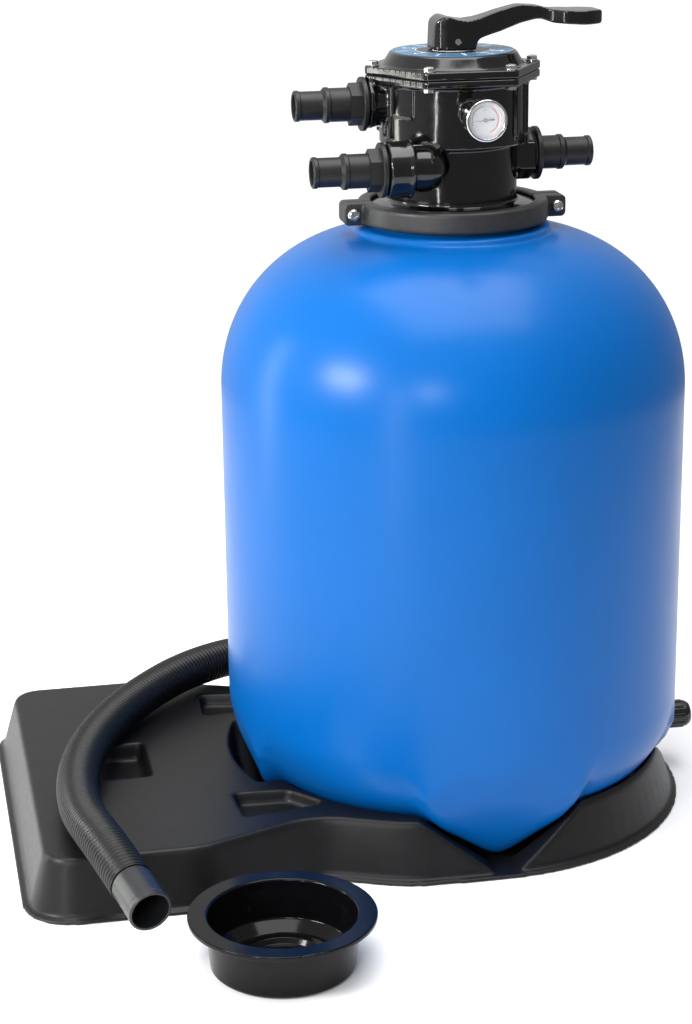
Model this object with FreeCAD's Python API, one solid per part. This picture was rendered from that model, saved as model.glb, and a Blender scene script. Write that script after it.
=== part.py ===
"""Sand filter kit for a swimming pool, as separate pieces in millimetres.

+Z is up and the origin is on the floor under the middle of the tank. The pump platform of the base
lies towards -X, the drain towards +X and the pressure gauge faces -Y. An azimuth is counted from -Y
towards +X, so the front is 0, the drain side 90, the back 180 and the platform -90.
"""
import FreeCAD, Part
import math
import os

V = FreeCAD.Vector
ORIGIN, X, Y, Z = V(0, 0, 0), V(1, 0, 0), V(0, 1, 0), V(0, 0, 1)

# Clearances
rest_gap = 0.1          # between faces that slide on each other
fit_gap = 0.05          # radial, of a shaft in its bore
body_gap = 0.4          # between pieces that only pass each other
seal_gap = 0.0          # a seal touches what it seals

# Tank
tank_radius = 250.0
tank_wall = 5.0
tank_low = 130.0        # where the straight wall starts
tank_high = 470.0       # where it ends
knuckle_radius = 180.0  # shoulder, next to the straight wall
knuckle_angle = 40.0
crown_radius = 140.0    # shoulder, next to the neck
crown_angle = 75.0
bowl_radius = 105.0     # below the straight wall
bowl_rise = 5.0         # how far the bottom rises towards its middle
neck_radius = 86.0
neck_bore = 70.0
foot_apex = -0.5        # height where the sides of a foot would meet
foot_slope = 1.35       # half width of a foot per unit of height
foot_round = 18.0
foot_azimuths = [0, 90, 180, 270]

# Base
floor_thick = 4.0
deck_height = 62.0
base_wall = 3.5
rim_radius = 232.0
draft_run = 18.0        # how far the outer wall leans out on its way down
edge_round = 5.0        # bevel of the upper edges
lip_width = 6.0
platform_end = 478.0
platform_half = 238.0
platform_corner = 30.0
well_radius = 228.0     # at the deck
well_draft = 14.0
notch_gap = 3.0         # between a foot and the notch that it stands in
platform_notch = 253.0  # radius that the notch in the platform reaches
pocket_depth = 14.0
pump_pocket_depth = 20.0
pocket_draft = 4.0
pocket_corner = 6.0

# Joint between tank and valve
flange_radius = 92.0
flange_thick = 6.5
seal_thick = 1.0
clamp_low = 649.5
clamp_height = 23.0
clamp_radius = 101.0
clamp_bore = 87.0
clamp_lug_reach = 120.0
clamp_lug_inner = 97.0
clamp_lug_depth = 16.0
clamp_bolt_x = 110.0
clamp_bolt_radius = 4.0
split_gap = 0.5

# Valve body
spigot_radius = 66.0
spigot_depth = 20.0
lower_radius = 67.5
upper_radius = 77.2
body_step = 732.0
body_wall = 7.0
seat_level = 744.0
seat_thick = 8.0
chamber_radius = 70.0
flange_low = 796.0
body_flange_thick = 8.5
hex_radius = 95.0
hex_round = 8.0
pipe_socket_radius = 26.0
pipe_socket_wall = 5.0
web_thick = 5.0
port_bore = 16.5
pump_port_z = 774.0
low_port_z = 716.0
pump_port_reach = 92.5
pump_port_radius = 23.5
waste_port_reach = 88.0
waste_port_y = -72.0
waste_port_radius = 28.8
waste_port_length = 26.0
waste_port_end = 24.0    # radius of its rounded end
waste_port_tip = 26.0    # from the axis to that end
return_port_reach = 85.0
return_hex_radius = 28.0
window_inner = 34.0
window_outer = 62.0
window_angle = 44.0

# Cover, its bolts and the label
cover_flange_thick = 8.5
cover_foot_radius = 74.0
cover_top_radius = 66.0
cover_top = 826.0
cover_wall = 5.0
cover_hub_radius = 17.0
cover_spigot_depth = 8.0
bolt_circle = 85.0
bolt_radius = 3.0
bolt_head = 5.7
nut_thick = 3.6
bolt_azimuths = [30, 90, 150, 210, 270, 330]
label_radius = 63.8
label_bore = 24.0
label_thick = 0.9

# Selector
spindle_radius = 8.0
rotor_radius = 66.0
rotor_thick = 12.0
gasket_thick = 1.2
spring_radius = 12.5
spring_wire = 1.6
spring_turns = 6
washer_radius = 21.5
washer_thick = 1.5
pin_radius = 3.0
pin_rise = 9.0          # of the handle's pin above the washer
press_angle = 14.0      # how far the handle can be pressed down, in degrees
handle_heel = 20.0      # from the pin to the edge that the handle rocks on

# Gauge
gauge_z = 771.5
gauge_face = -142.0
gauge_radius = 21.0
gauge_depth = 21.0
gauge_wall = 1.5
gauge_boss_radius = 11.0
gauge_boss_end = -92.0
gauge_thread = 6.6
needle_rest = -5.0      # turn of the needle upwards from pointing at -X, in degrees

# Hose tails
tail_large = 17.5
tail_small = 15.0
tail_bead = 1.0          # how far each step's bead stands proud
tail_bead_length = 4.0
tail_bore = 12.5
tail_step = 31.0        # length of the small stretch
tail_wide = 27.0        # length of the large stretch
tail_collar = 12.0
tail_flange = 28.0
tail_flange_thick = 5.0
tail_hex = 22.5
tail_thread = 14.0
tail_seal_thick = 2.0

# Drain
drain_z = 60.0
drain_boss_radius = 24.0
drain_boss_face = 240.0
drain_bore = 13.0
drain_flange_radius = 20.0
drain_cap_radius = 16.0
drain_cap_end = 282.0
drain_ribs = 12

# Inside the tank
pipe_radius = 25.0
pipe_wall = 3.0
pipe_top = 655.0
hub_low = 36.0
hub_height = 42.0
hub_radius = 42.0
lateral_radius = 9.0
lateral_length = 110.0
lateral_z = 54.0
lateral_count = 8
diffuser_radius = 60.0
diffuser_low = 590.0
diffuser_height = 44.0

# Cup, which stands loose on the floor
cup_x = -262.0
cup_y = -386.0
cup_flange_radius = 92.0
cup_height = 55.5
cup_flange_thick = 3.4
cup_foot_radius = 70.8
cup_mouth_radius = 75.5
cup_wall = 3.0

# Hose
hose_radius = 22.5
cuff_radius = 21.3
cuff_bore = 19.0
cuff_length = 48.0
hose_route = [
    V(-401.0, -336.0, 77.0), V(-420.0, -268.0, 91.0), V(-435.0, -190.0, 86.5), V(-434.0, -108.0, 85.2),
    V(-419.0, -30.0, 85.3), V(-389.0, 48.0, 85.2), V(-341.0, 126.0, 86.0), V(-274.0, 193.0, 90.5),
    V(-192.0, 250.0, 84.0), V(-112.0, 300.0, 48.0), V(-20.0, 330.0, 24.0), V(68.0, 337.0, 23.4),
]

# Values that follow from the ones above
tank_flange_low = clamp_low + (clamp_height - 2 * flange_thick - seal_thick) / 2
tank_flange_top = tank_flange_low + flange_thick
valve_low = tank_flange_top + seal_thick
valve_flange_top = valve_low + flange_thick
cover_low = flange_low + body_flange_thick
cover_flange_top = cover_low + cover_flange_thick
rotor_low = seat_level + seat_thick + gasket_thick + rest_gap
rotor_top = rotor_low + rotor_thick
washer_low = cover_top + rest_gap
handle_low = washer_low + washer_thick + rest_gap
pin_height = handle_low + pin_rise


def around(azimuth, radius, height=0.0):
    """The point at an azimuth, in degrees, and a radius from the tank's axis."""
    angle = math.radians(azimuth)
    return V(radius * math.sin(angle), -radius * math.cos(angle), height)


def rounded_wire(points, radii, closed=True):
    """Straight edges between points, with a tangent arc of the given radius at each point."""
    count = len(points)
    starts, ends, arcs = [], [], []
    for i, point in enumerate(points):
        if radii[i] == 0 or (not closed and i in (0, count - 1)):
            starts.append(point)
            ends.append(point)
            arcs.append(None)
            continue
        back = (points[i - 1] - point).normalize()
        ahead = (points[(i + 1) % count] - point).normalize()
        half = back.getAngle(ahead) / 2
        setback = radii[i] / math.tan(half)
        middle = (back + ahead).normalize() * (radii[i] / math.sin(half) - radii[i])
        starts.append(point + back * setback)
        ends.append(point + ahead * setback)
        arcs.append(Part.Arc(starts[-1], point + middle, ends[-1]).toShape())
    edges = []
    for i in range(count):
        if arcs[i]:
            edges.append(arcs[i])
        following = starts[(i + 1) % count]
        if (closed or i < count - 1) and (following - ends[i]).Length > 1e-6:
            edges.append(Part.makeLine(ends[i], following))
    return Part.Wire(edges)


def turned(profile, rounds=None, sweep=360.0):
    """A solid of revolution about Z from (radius, height) points."""
    points = [V(radius, 0, height) for radius, height in profile]
    wire = rounded_wire(points, rounds or [0] * len(points))
    return Part.Face(wire).revolve(ORIGIN, Z, sweep)


def aimed(shape, place, direction):
    """A shape that was made along +Z, moved so that it starts at a place and points along a direction."""
    shape = shape.copy()
    shape.Placement = FreeCAD.Placement(place, FreeCAD.Rotation(Z, direction)).multiply(shape.Placement)
    return shape


def spun(shape, azimuth):
    """A copy turned about Z by an azimuth."""
    copy = shape.copy()
    copy.rotate(ORIGIN, Z, azimuth)
    return copy


def tube(outer, inner, height, base=0.0):
    """A round tube about Z."""
    return turned([(inner, base), (outer, base), (outer, base + height), (inner, base + height)])


def rod(radius, height, base=0.0):
    """A round rod about Z."""
    return Part.makeCylinder(radius, height, V(0, 0, base))


def hexagon(radius, height, base=0.0, rounding=0.0):
    """A hexagonal prism about Z with a corner on the X axis."""
    corners = [V(radius * math.cos(math.radians(60 * i)), radius * math.sin(math.radians(60 * i)), base)
               for i in range(6)]
    return Part.Face(rounded_wire(corners, [rounding] * 6)).extrude(V(0, 0, height))


def sector(inner, outer, angle, height, base):
    """A slice of a ring about Z, with its middle on the X axis."""
    slice_shape = turned([(inner, base), (outer, base), (outer, base + height), (inner, base + height)],
                         sweep=angle)
    return spun(slice_shape, -angle / 2)


def group(solids):
    """Several separate solids in one node."""
    return Part.makeCompound(solids)


def save(node, shape):
    """Write one node to its own file."""
    shape.exportStep("parts/" + node + ".step")


# ---------------------------------------------------------------- tank

def tank_side(inset):
    """The tank's outline from the bottom of its bowl to its neck, moved inwards by inset."""
    def arc_point(centre, radius, angle):
        angle = math.radians(angle)
        return V(centre.x + radius * math.cos(angle), 0, centre.z + radius * math.sin(angle))

    def arc(centre, radius, first, last):
        middle = (first + last) / 2
        return Part.Arc(*[arc_point(centre, radius, angle) for angle in (first, middle, last)]).toShape()

    bowl = V(tank_radius - bowl_radius, 0, tank_low)
    knuckle = V(tank_radius - knuckle_radius, 0, tank_high)
    shift = knuckle_radius - crown_radius
    crown = arc_point(knuckle, shift, knuckle_angle)
    bowl_arc = arc(bowl, bowl_radius - inset, -90, 0)
    knuckle_arc = arc(knuckle, knuckle_radius - inset, 0, knuckle_angle)
    crown_arc = arc(crown, crown_radius - inset, knuckle_angle, crown_angle)
    shoulder = crown_arc.Vertexes[-1].Point
    run = shoulder.x - (neck_radius - tank_wall)
    neck_foot = V(shoulder.x - run, 0, shoulder.z + run / math.tan(math.radians(crown_angle)))
    bottom = V(0, 0, bowl.z - bowl_radius + inset + bowl_rise)
    top = V(0, 0, neck_foot.z)
    edges = [Part.makeLine(bottom, bowl_arc.Vertexes[0].Point), bowl_arc,
             Part.makeLine(bowl_arc.Vertexes[-1].Point, knuckle_arc.Vertexes[0].Point),
             knuckle_arc, crown_arc, Part.makeLine(shoulder, neck_foot),
             Part.makeLine(neck_foot, top), Part.makeLine(top, bottom)]
    return Part.Face(Part.Wire(edges)).revolve(ORIGIN, Z, 360)


def foot_wedge(grow, top):
    """A V-shaped prism that runs out from the axis towards +X. It is as wide as a foot is."""
    rise = grow * math.hypot(1, foot_slope) / foot_slope
    apex = foot_apex - rise
    half = (top - apex) * foot_slope
    corners = [V(0, -half, top), V(0, 0, apex), V(0, half, top)]
    return Part.Face(rounded_wire(corners, [0, foot_round + grow, 0])).extrude(V(2 * tank_radius, 0, 0))


def feet(inset):
    """Four feet, whose outer faces lean in from the tank's wall down to the floor of the base."""
    lean = 25.0
    bottom = floor_thick + inset
    ring = turned([(tank_radius * 0.5 + inset, tank_low - inset), (tank_radius * 0.62 + inset, bottom + 24),
                   (tank_radius * 0.78, bottom), (tank_radius - lean - 7 - inset, bottom),
                   (tank_radius - lean - inset, bottom + 20), (tank_radius - inset, tank_low)],
                  [0, 20, 12, 8, 12, 0])
    wedge = foot_wedge(-inset, tank_low + 1)
    wedge.translate(V(tank_radius * 0.4, 0, 0))
    foot = ring.common(wedge)
    return [spun(foot, azimuth - 90) for azimuth in foot_azimuths]


def tank():
    outer = tank_side(0).multiFuse(feet(0))
    inner = tank_side(tank_wall).multiFuse(feet(tank_wall))
    neck_low = clamp_low - 20
    neck = turned([(0, neck_low), (neck_radius, neck_low), (neck_radius, tank_flange_low),
                   (flange_radius, tank_flange_low), (flange_radius, tank_flange_top), (0, tank_flange_top)],
                  [0, 0, 0, 1, 1, 0])
    collar = turned([(neck_radius - 2, neck_low), (neck_radius + 18, neck_low),
                     (neck_radius + 12, clamp_low - 6),
                     (neck_radius - 2, clamp_low - 4)], [0, 0, 4, 0])
    shell = outer.multiFuse([neck, collar]).cut(inner)
    shell = shell.cut(rod(neck_bore, 60, tank_flange_top - 59))
    boss = aimed(rod(drain_boss_radius, 24), V(drain_boss_face - 24, 0, drain_z), X)
    shell = shell.fuse(boss)
    return shell.cut(aimed(rod(drain_bore, 60), V(drain_boss_face - 45, 0, drain_z), X)).removeSplitter()


# ---------------------------------------------------------------- base

def base_outline(grow, height):
    """The base seen from above, with its edge moved out by grow."""
    arc_radius = rim_radius + grow
    front = [(-20, -rim_radius), (-100, -230), (-194, -188), (-318, -platform_half),
             (-platform_end, -platform_half)]
    rounds = [0, 120, 80, 80, platform_corner]
    turns = [0, 1, -1, 1, 1]
    corners = [V(x, y, height) for x, y in front] + [V(-platform_end, platform_half, height)]
    moved = [V(front[0][0], -arc_radius, height)]
    for before, corner, after in zip(corners, corners[1:], corners[2:]):
        into, out = (corner - before).normalize(), (after - corner).normalize()
        left = V(into.y, -into.x, 0) + V(out.y, -out.x, 0)
        left.normalize()
        moved.append(corner - left * (grow / math.cos(into.getAngle(out) / 2)))
    radii = [radius + grow * turn for radius, turn in zip(rounds, turns)]
    back = [V(point.x, -point.y, height) for point in reversed(moved)]
    points = moved + back
    side = rounded_wire(points, radii + radii[::-1], closed=False)
    near, far = V(0, -arc_radius, height), V(0, arc_radius, height)
    curve = Part.Arc(near, V(arc_radius, 0, height), far).toShape()
    edges = [curve, Part.makeLine(far, back[-1])] + side.Edges[::-1] + [Part.makeLine(moved[0], near)]
    return Part.Wire(Part.__sortEdges__(edges))


def tapered(levels):
    """A stack of ruled lofts between outlines of the base, from (grow, height) pairs."""
    layers = []
    for low, high in zip(levels, levels[1:]):
        wires = [base_outline(*low), base_outline(*high)]
        layers.append(Part.makeLoft(wires, True, True))
    solid = layers[0]
    for layer in layers[1:]:
        solid = solid.fuse(layer)
    return solid


def sunk(corners, depth, grow, corner_radius):
    """A tapered pocket below the deck. Its corners are in plan and its sides lean inwards."""
    def loop(inset, height):
        middle = V(sum(x for x, y in corners) / len(corners), sum(y for x, y in corners) / len(corners), 0)
        moved = []
        count = len(corners)
        for i in range(count):
            before, corner, after = [V(*corners[(i + k) % count], 0) for k in (-1, 0, 1)]
            into, out = (corner - before).normalize(), (after - corner).normalize()
            across = V(into.y, -into.x, 0) + V(out.y, -out.x, 0)
            across.normalize()
            if across.dot(middle - corner) < 0:
                across = -across
            moved.append(corner + across * (inset / math.cos(into.getAngle(out) / 2)) + V(0, 0, height))
        return rounded_wire(moved, [corner_radius + grow] * count)

    top = deck_height + 1
    slope = pocket_draft / depth
    return Part.makeLoft([loop(-grow - slope, top), loop(pocket_draft - grow, deck_height - depth - grow)],
                         True, True)


def pockets(grow):
    """The two long pockets beside the tank and the one that the pump's foot drops into."""
    front = [(-269, -113), (-208, -117), (-174, -157), (-213, -166), (-265, -176)]
    back = [(x, -y) for x, y in front]
    pump = [(-432, -47), (-346, -47), (-346, 47), (-432, 47)]
    return [sunk(front, pocket_depth, grow, pocket_corner), sunk(back, pocket_depth, grow, pocket_corner),
            sunk(pump, pump_pocket_depth, grow, pocket_corner)]


def well(grow):
    """The round well that the tank stands in, with a notch for each foot."""
    low = floor_thick - grow
    top = deck_height + 1
    bowl = Part.makeCone(well_radius - well_draft + grow, well_radius + grow, top - low, V(0, 0, low))
    wedge = foot_wedge(notch_gap + grow, top)
    above = Part.makeBox(4 * tank_radius, 4 * tank_radius, top, V(-2 * tank_radius, -2 * tank_radius, low))
    wedge = wedge.common(above)
    reach = Part.makeCone(platform_notch - draft_run + grow, platform_notch + grow, top - low, V(0, 0, low))
    notches = [spun(wedge, azimuth - 90) for azimuth in (0, 90, 180)]
    return [bowl, spun(wedge, 180).common(reach)] + notches


def base():
    bevel_low = deck_height - edge_round
    lean = draft_run * edge_round / deck_height
    outer = tapered([(draft_run, 0), (lean, bevel_low), (lean - edge_round * 0.6, deck_height)])
    inner = tapered([(draft_run - base_wall, -1), (lean - base_wall, bevel_low - base_wall / 2),
                     (lean - edge_round * 0.6 - base_wall, deck_height - base_wall)])
    shell = outer.cut(Part.makeCompound(well(0) + pockets(0)))
    hollow = inner.cut(Part.makeCompound(well(base_wall) + pockets(base_wall)))
    shell = shell.cut(hollow)
    edge = draft_run + lip_width
    lip = Part.Face(base_outline(edge, 0)).extrude(V(0, 0, floor_thick))
    lip = lip.cut(Part.Face(base_outline(draft_run - base_wall, -1)).extrude(V(0, 0, floor_thick + 2)))
    return shell.fuse(lip).removeSplitter()


# ---------------------------------------------------------------- joint between tank and valve

def neck_seal():
    return tube(flange_radius - 6, neck_bore + 3, seal_thick, tank_flange_top)


def clamp_half(side):
    """Half of the two-part clamp, on side 1 (back) or -1 (front)."""
    top = clamp_low + clamp_height
    groove_low = tank_flange_low - rest_gap
    groove_top = valve_flange_top + rest_gap
    groove = flange_radius + rest_gap
    ring = turned([(clamp_bore, clamp_low), (clamp_radius, clamp_low), (clamp_radius, top),
                   (clamp_bore, top),
                   (clamp_bore, groove_top), (groove, groove_top), (groove, groove_low),
                   (clamp_bore, groove_low)],
                  [0, 4, 4, 2, 0, 0, 0, 0])
    lugs = []
    for end in (-1, 1):
        start = clamp_lug_inner if end > 0 else -clamp_lug_reach
        lug = Part.makeBox(clamp_lug_reach - clamp_lug_inner, 2 * clamp_lug_depth, clamp_height,
                           V(start, -clamp_lug_depth, clamp_low))
        outer_edges = [e for e in lug.Edges if abs(abs(e.BoundBox.Center.x) - clamp_lug_reach) < 0.01
                       and e.BoundBox.ZLength < 0.01]
        lugs.append(lug.makeFillet(5, outer_edges))
    ring = ring.multiFuse(lugs)
    for end in (-1, 1):
        hole = aimed(rod(clamp_bolt_radius + fit_gap, 80),
                     V(end * clamp_bolt_x, -40, clamp_low + clamp_height / 2), Y)
        ring = ring.cut(hole)
    edge = split_gap if side > 0 else -200 - split_gap
    half_box = Part.makeBox(400, 200, 60, V(-200, edge, clamp_low - 10))
    return ring.common(half_box).removeSplitter()


def clamp_bolt_set():
    """Two screws with domed heads at the front, and their nuts at the back."""
    bolts, nuts = [], []
    height = clamp_low + clamp_height / 2
    for end in (-1, 1):
        start = V(end * clamp_bolt_x, -clamp_lug_depth, height)
        shank = rod(clamp_bolt_radius, 2 * clamp_lug_depth + 10)
        head = turned([(0, -5), (5.5, -5), (7, -3.5), (7, 0), (0, 0)])
        bolts.append(aimed(head.fuse(shank), start, Y))
        nut = hexagon(7.2, 6.5).cut(rod(clamp_bolt_radius + fit_gap, 20, -1))
        nuts.append(aimed(nut, V(start.x, clamp_lug_depth, height), Y))
    return group(bolts), group(nuts)


# ---------------------------------------------------------------- valve body

def windows(inner, outer, height, base_height):
    """Six openings in a ring."""
    return [spun(sector(inner, outer, window_angle, height, base_height), azimuth)
            for azimuth in range(0, 360, 60)]


def body_ports():
    """The outsides of the three ports."""
    pump = rod(pump_port_radius, 40).fuse(rod(pump_port_radius + 2, 5, 35))
    ribs = [spun(Part.makeBox(3, 2, 34, V(pump_port_radius - 2, -1, 0)), 30 * i) for i in range(12)]
    pump = aimed(pump.multiFuse(ribs), V(-pump_port_reach + 40, 0, pump_port_z), -X)
    back = aimed(hexagon(return_hex_radius, 18, return_port_reach - 18, 2), V(0, 0, low_port_z), X)
    back = back.fuse(aimed(rod(return_hex_radius - 6, return_port_reach - 58, 50), V(0, 0, low_port_z), X))
    ring = waste_port_reach - waste_port_length
    waste = turned([(0, waste_port_tip), (waste_port_end, waste_port_tip), (waste_port_end, ring),
                    (waste_port_radius + 1.5, ring), (waste_port_radius + 1.5, ring + 4),
                    (waste_port_radius, ring + 4), (waste_port_radius, waste_port_reach),
                    (0, waste_port_reach)],
                   [0, waste_port_end - 2, 0, 1, 1, 0, 1, 0])
    waste = aimed(waste, V(0, waste_port_y, low_port_z), -X)
    bridge_half = waste_port_end - 4
    bridge = Part.makeBox(34, -waste_port_y, 2 * bridge_half,
                          V(-ring - 4, waste_port_y, low_port_z - bridge_half))
    return [pump, back, waste, bridge]


def body_bores():
    """The ways from the ports into the two chambers."""
    pump = aimed(rod(port_bore, 60), V(-pump_port_reach + 59, 0, pump_port_z), -X)
    back = aimed(rod(port_bore, 60), V(return_port_reach - 59, 0, low_port_z), X)
    start = V(-waste_port_reach - 1, waste_port_y, low_port_z)
    waste = aimed(rod(port_bore, 44), start, X)
    inlet = V(-waste_port_reach + 38, waste_port_y, low_port_z)
    into = (V(0, -24, low_port_z) - inlet).normalize()
    elbow = aimed(rod(port_bore - 3, 56), inlet - into * 6, into)
    return [pump, back, waste, elbow]


def body_trim():
    """Raised panel, ribs and gauge boss on the outside of the upper body."""
    panel = spun(sector(upper_radius - 2, upper_radius + 1.4, 26, 30, flange_low - 31), -148)
    rib = Part.makeBox(6, 3, flange_low - body_step - 8, V(upper_radius - 2, -1.5, body_step + 9))
    ribs = [spun(rib, azimuth - 90) for azimuth in (-78, -68, 42, 62, 112, 138, 222, 248)]
    boss = aimed(rod(gauge_boss_radius, -gauge_boss_end), V(0, 0, gauge_z), -Y)
    return [panel, boss] + ribs


def valve_body():
    lower = turned([(0, valve_low - spigot_depth), (spigot_radius, valve_low - spigot_depth),
                    (spigot_radius, valve_low), (flange_radius, valve_low),
                    (flange_radius, valve_flange_top),
                    (clamp_bore - body_gap, valve_flange_top), (lower_radius + 5, valve_flange_top + 3),
                    (lower_radius, valve_flange_top + 3), (lower_radius, body_step),
                    (upper_radius, body_step), (upper_radius, flange_low + 2), (0, flange_low + 2)],
                   [0, 2, 0, 1, 1, 0, 1, 2, 0, 1.5, 0, 0])
    flange = hexagon(hex_radius, body_flange_thick, flange_low, hex_round)
    solid = lower.multiFuse([flange] + body_ports() + body_trim())
    chamber = rod(chamber_radius, 200, seat_level + seat_thick)
    hollow = lower_radius - body_wall
    under = turned([(pipe_socket_radius + pipe_socket_wall, 0), (hollow, 0), (hollow, seat_level),
                    (pipe_socket_radius + pipe_socket_wall, seat_level)])
    web = Part.makeBox(2 * upper_radius, web_thick, 100, V(-upper_radius, -web_thick / 2, valve_low))
    under = under.cut(spun(web, 45)).cut(spun(web, 135))
    socket = rod(pipe_socket_radius, 900, 0)
    gauge_hole = aimed(rod(gauge_thread, -gauge_boss_end), V(0, -chamber_radius + 4, gauge_z), -Y)
    nut_low = flange_low - nut_thick - rest_gap
    pocket = rod(bolt_head + 1.2, flange_low - nut_low, nut_low)
    pocket = pocket.fuse(rod(bolt_radius + fit_gap, 60, nut_low))
    holes = [pocket.copy() for _ in bolt_azimuths]
    for hole, azimuth in zip(holes, bolt_azimuths):
        hole.translate(around(azimuth, bolt_circle))
    cuts = [chamber, under, socket, gauge_hole] + holes + body_bores()
    cuts += windows(window_inner, window_outer, seat_thick + 2, seat_level - 1)
    for cut in cuts:
        solid = solid.cut(cut)
    return solid.removeSplitter()


# ---------------------------------------------------------------- cover, bolts and label

def valve_cover():
    top_inner = cover_top - cover_wall
    flange = hexagon(hex_radius, cover_flange_thick, cover_low, hex_round)
    cone = turned([(0, cover_low), (cover_foot_radius, cover_low), (cover_foot_radius, cover_flange_top),
                   (cover_top_radius, cover_top), (0, cover_top)], [0, 0, 3, 1.5, 0])
    spigot = rod(chamber_radius - fit_gap, cover_spigot_depth + 1, cover_low - cover_spigot_depth)
    hub = rod(cover_hub_radius, 28, top_inner - 27)
    hollow = turned([(0, cover_low - 20), (chamber_radius - 6, cover_low - 20),
                     (chamber_radius - 6, cover_low + 3),
                     (cover_top_radius - cover_wall, top_inner), (0, top_inner)])
    solid = flange.multiFuse([cone, spigot]).cut(hollow).fuse(hub)
    ribs = [spun(Part.makeBox(cover_top_radius - cover_wall - 8, 4, 8, V(10, -2, top_inner - 7)), 60 * i)
            for i in range(6)]
    solid = solid.multiFuse(ribs)
    groove = tube(chamber_radius + 5, chamber_radius - 3, 3, cover_low - 6)
    solid = solid.cut(groove).cut(rod(spindle_radius + fit_gap, 80, cover_top - 60))
    for azimuth in bolt_azimuths:
        hole = rod(bolt_radius + fit_gap, 60, flange_low)
        hole.translate(around(azimuth, bolt_circle))
        solid = solid.cut(hole)
    return solid.removeSplitter()


def cover_seal():
    return tube(chamber_radius - seal_gap, chamber_radius - 3, 3, cover_low - 6)


def cover_bolt_set():
    """Six screws through the two hexagonal flanges, with their nuts underneath."""
    bolts, nuts = [], []
    for azimuth in bolt_azimuths:
        place = around(azimuth, bolt_circle)
        head = hexagon(bolt_head, 4, cover_flange_top + 1.2, 0.6)
        washer = rod(bolt_head + 0.6, 1.2, cover_flange_top)
        shank = rod(bolt_radius, cover_flange_top - flange_low + nut_thick, flange_low - nut_thick)
        bolt = head.multiFuse([washer, shank])
        bolt.translate(place)
        bolts.append(bolt)
        nut = hexagon(bolt_head, nut_thick, flange_low - nut_thick, 0.6)
        nut = nut.cut(rod(bolt_radius + fit_gap, 20, flange_low - 10))
        nut.translate(place)
        nuts.append(nut)
    return group(bolts), group(nuts)


def label_disc():
    return turned([(label_bore, cover_top), (label_radius, cover_top),
                   (label_radius, cover_top + label_thick),
                   (label_bore, cover_top + label_thick)], [0, 0, 0.3, 0.3])


# ---------------------------------------------------------------- selector

def spider_gasket():
    low = seat_level + seat_thick
    rings = tube(rotor_radius + 2, window_outer, gasket_thick, low).fuse(
        tube(window_inner, pipe_socket_radius, gasket_thick, low))
    bar = Part.makeBox(window_outer - window_inner + 4, 5, gasket_thick, V(window_inner - 2, -2.5, low))
    return rings.multiFuse([spun(bar, 30 + 60 * i) for i in range(6)]).removeSplitter()


def rotor():
    disc = turned([(0, rotor_low), (rotor_radius, rotor_low), (rotor_radius, rotor_top),
                   (20, rotor_top), (20, rotor_top + 3), (0, rotor_top + 3)], [0, 1, 2, 1, 1, 0])
    way = sector(window_inner, window_outer, window_angle, rotor_thick + 2, rotor_low - 1)
    recess = spun(sector(window_inner, window_outer, 104, rotor_thick - 5, rotor_low - 1), 180)
    centre = rod(pipe_socket_radius - 4, rotor_thick - 5, rotor_low - 1)
    link = Part.makeBox(window_inner, 16, rotor_thick - 5, V(-window_inner - 4, -8, rotor_low - 1))
    for cut in (way, recess, centre, link, rod(spindle_radius, 40, rotor_low + 1)):
        disc = disc.cut(cut)
    return disc.removeSplitter()


def spindle():
    """The shaft between rotor and handle, with a groove for each seal and a cross hole for the pin."""
    top = pin_height + 6
    low = rotor_top - 6
    shaft = turned([(0, low), (spindle_radius, low), (spindle_radius, top), (0, top)], [0, 0, 2, 0])
    flange = rod(11, 2, rotor_top + 3)
    shaft = shaft.fuse(flange)
    for height in seal_heights():
        shaft = shaft.cut(tube(spindle_radius + 3, spindle_radius - 2, 2.6, height))
    hole = aimed(rod(pin_radius, 60), V(0, -30, pin_height), Y)
    return shaft.cut(hole)


def seal_heights():
    middle = cover_top - 16
    return [middle - 5, middle + 2]


def spindle_seals():
    return group([tube(spindle_radius, spindle_radius - 2, 2.6, height) for height in seal_heights()])


def rotor_spring():
    """A round-wire spring between the rotor and the hub of the cover."""
    low = rotor_top + 5 + 2 * spring_wire
    high = cover_top - cover_wall - 27 - 2 * spring_wire
    pitch = (high - low) / spring_turns
    coil = Part.makeHelix(pitch, high - low, spring_radius)
    coil.translate(V(0, 0, low))
    start = Part.Wire(Part.makeCircle(spring_wire, V(spring_radius, 0, low), Y))
    return Part.Wire(coil.Edges).makePipeShell([start], True, True)


def thrust_washer():
    return tube(washer_radius, spindle_radius + body_gap, washer_thick, washer_low)


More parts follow.
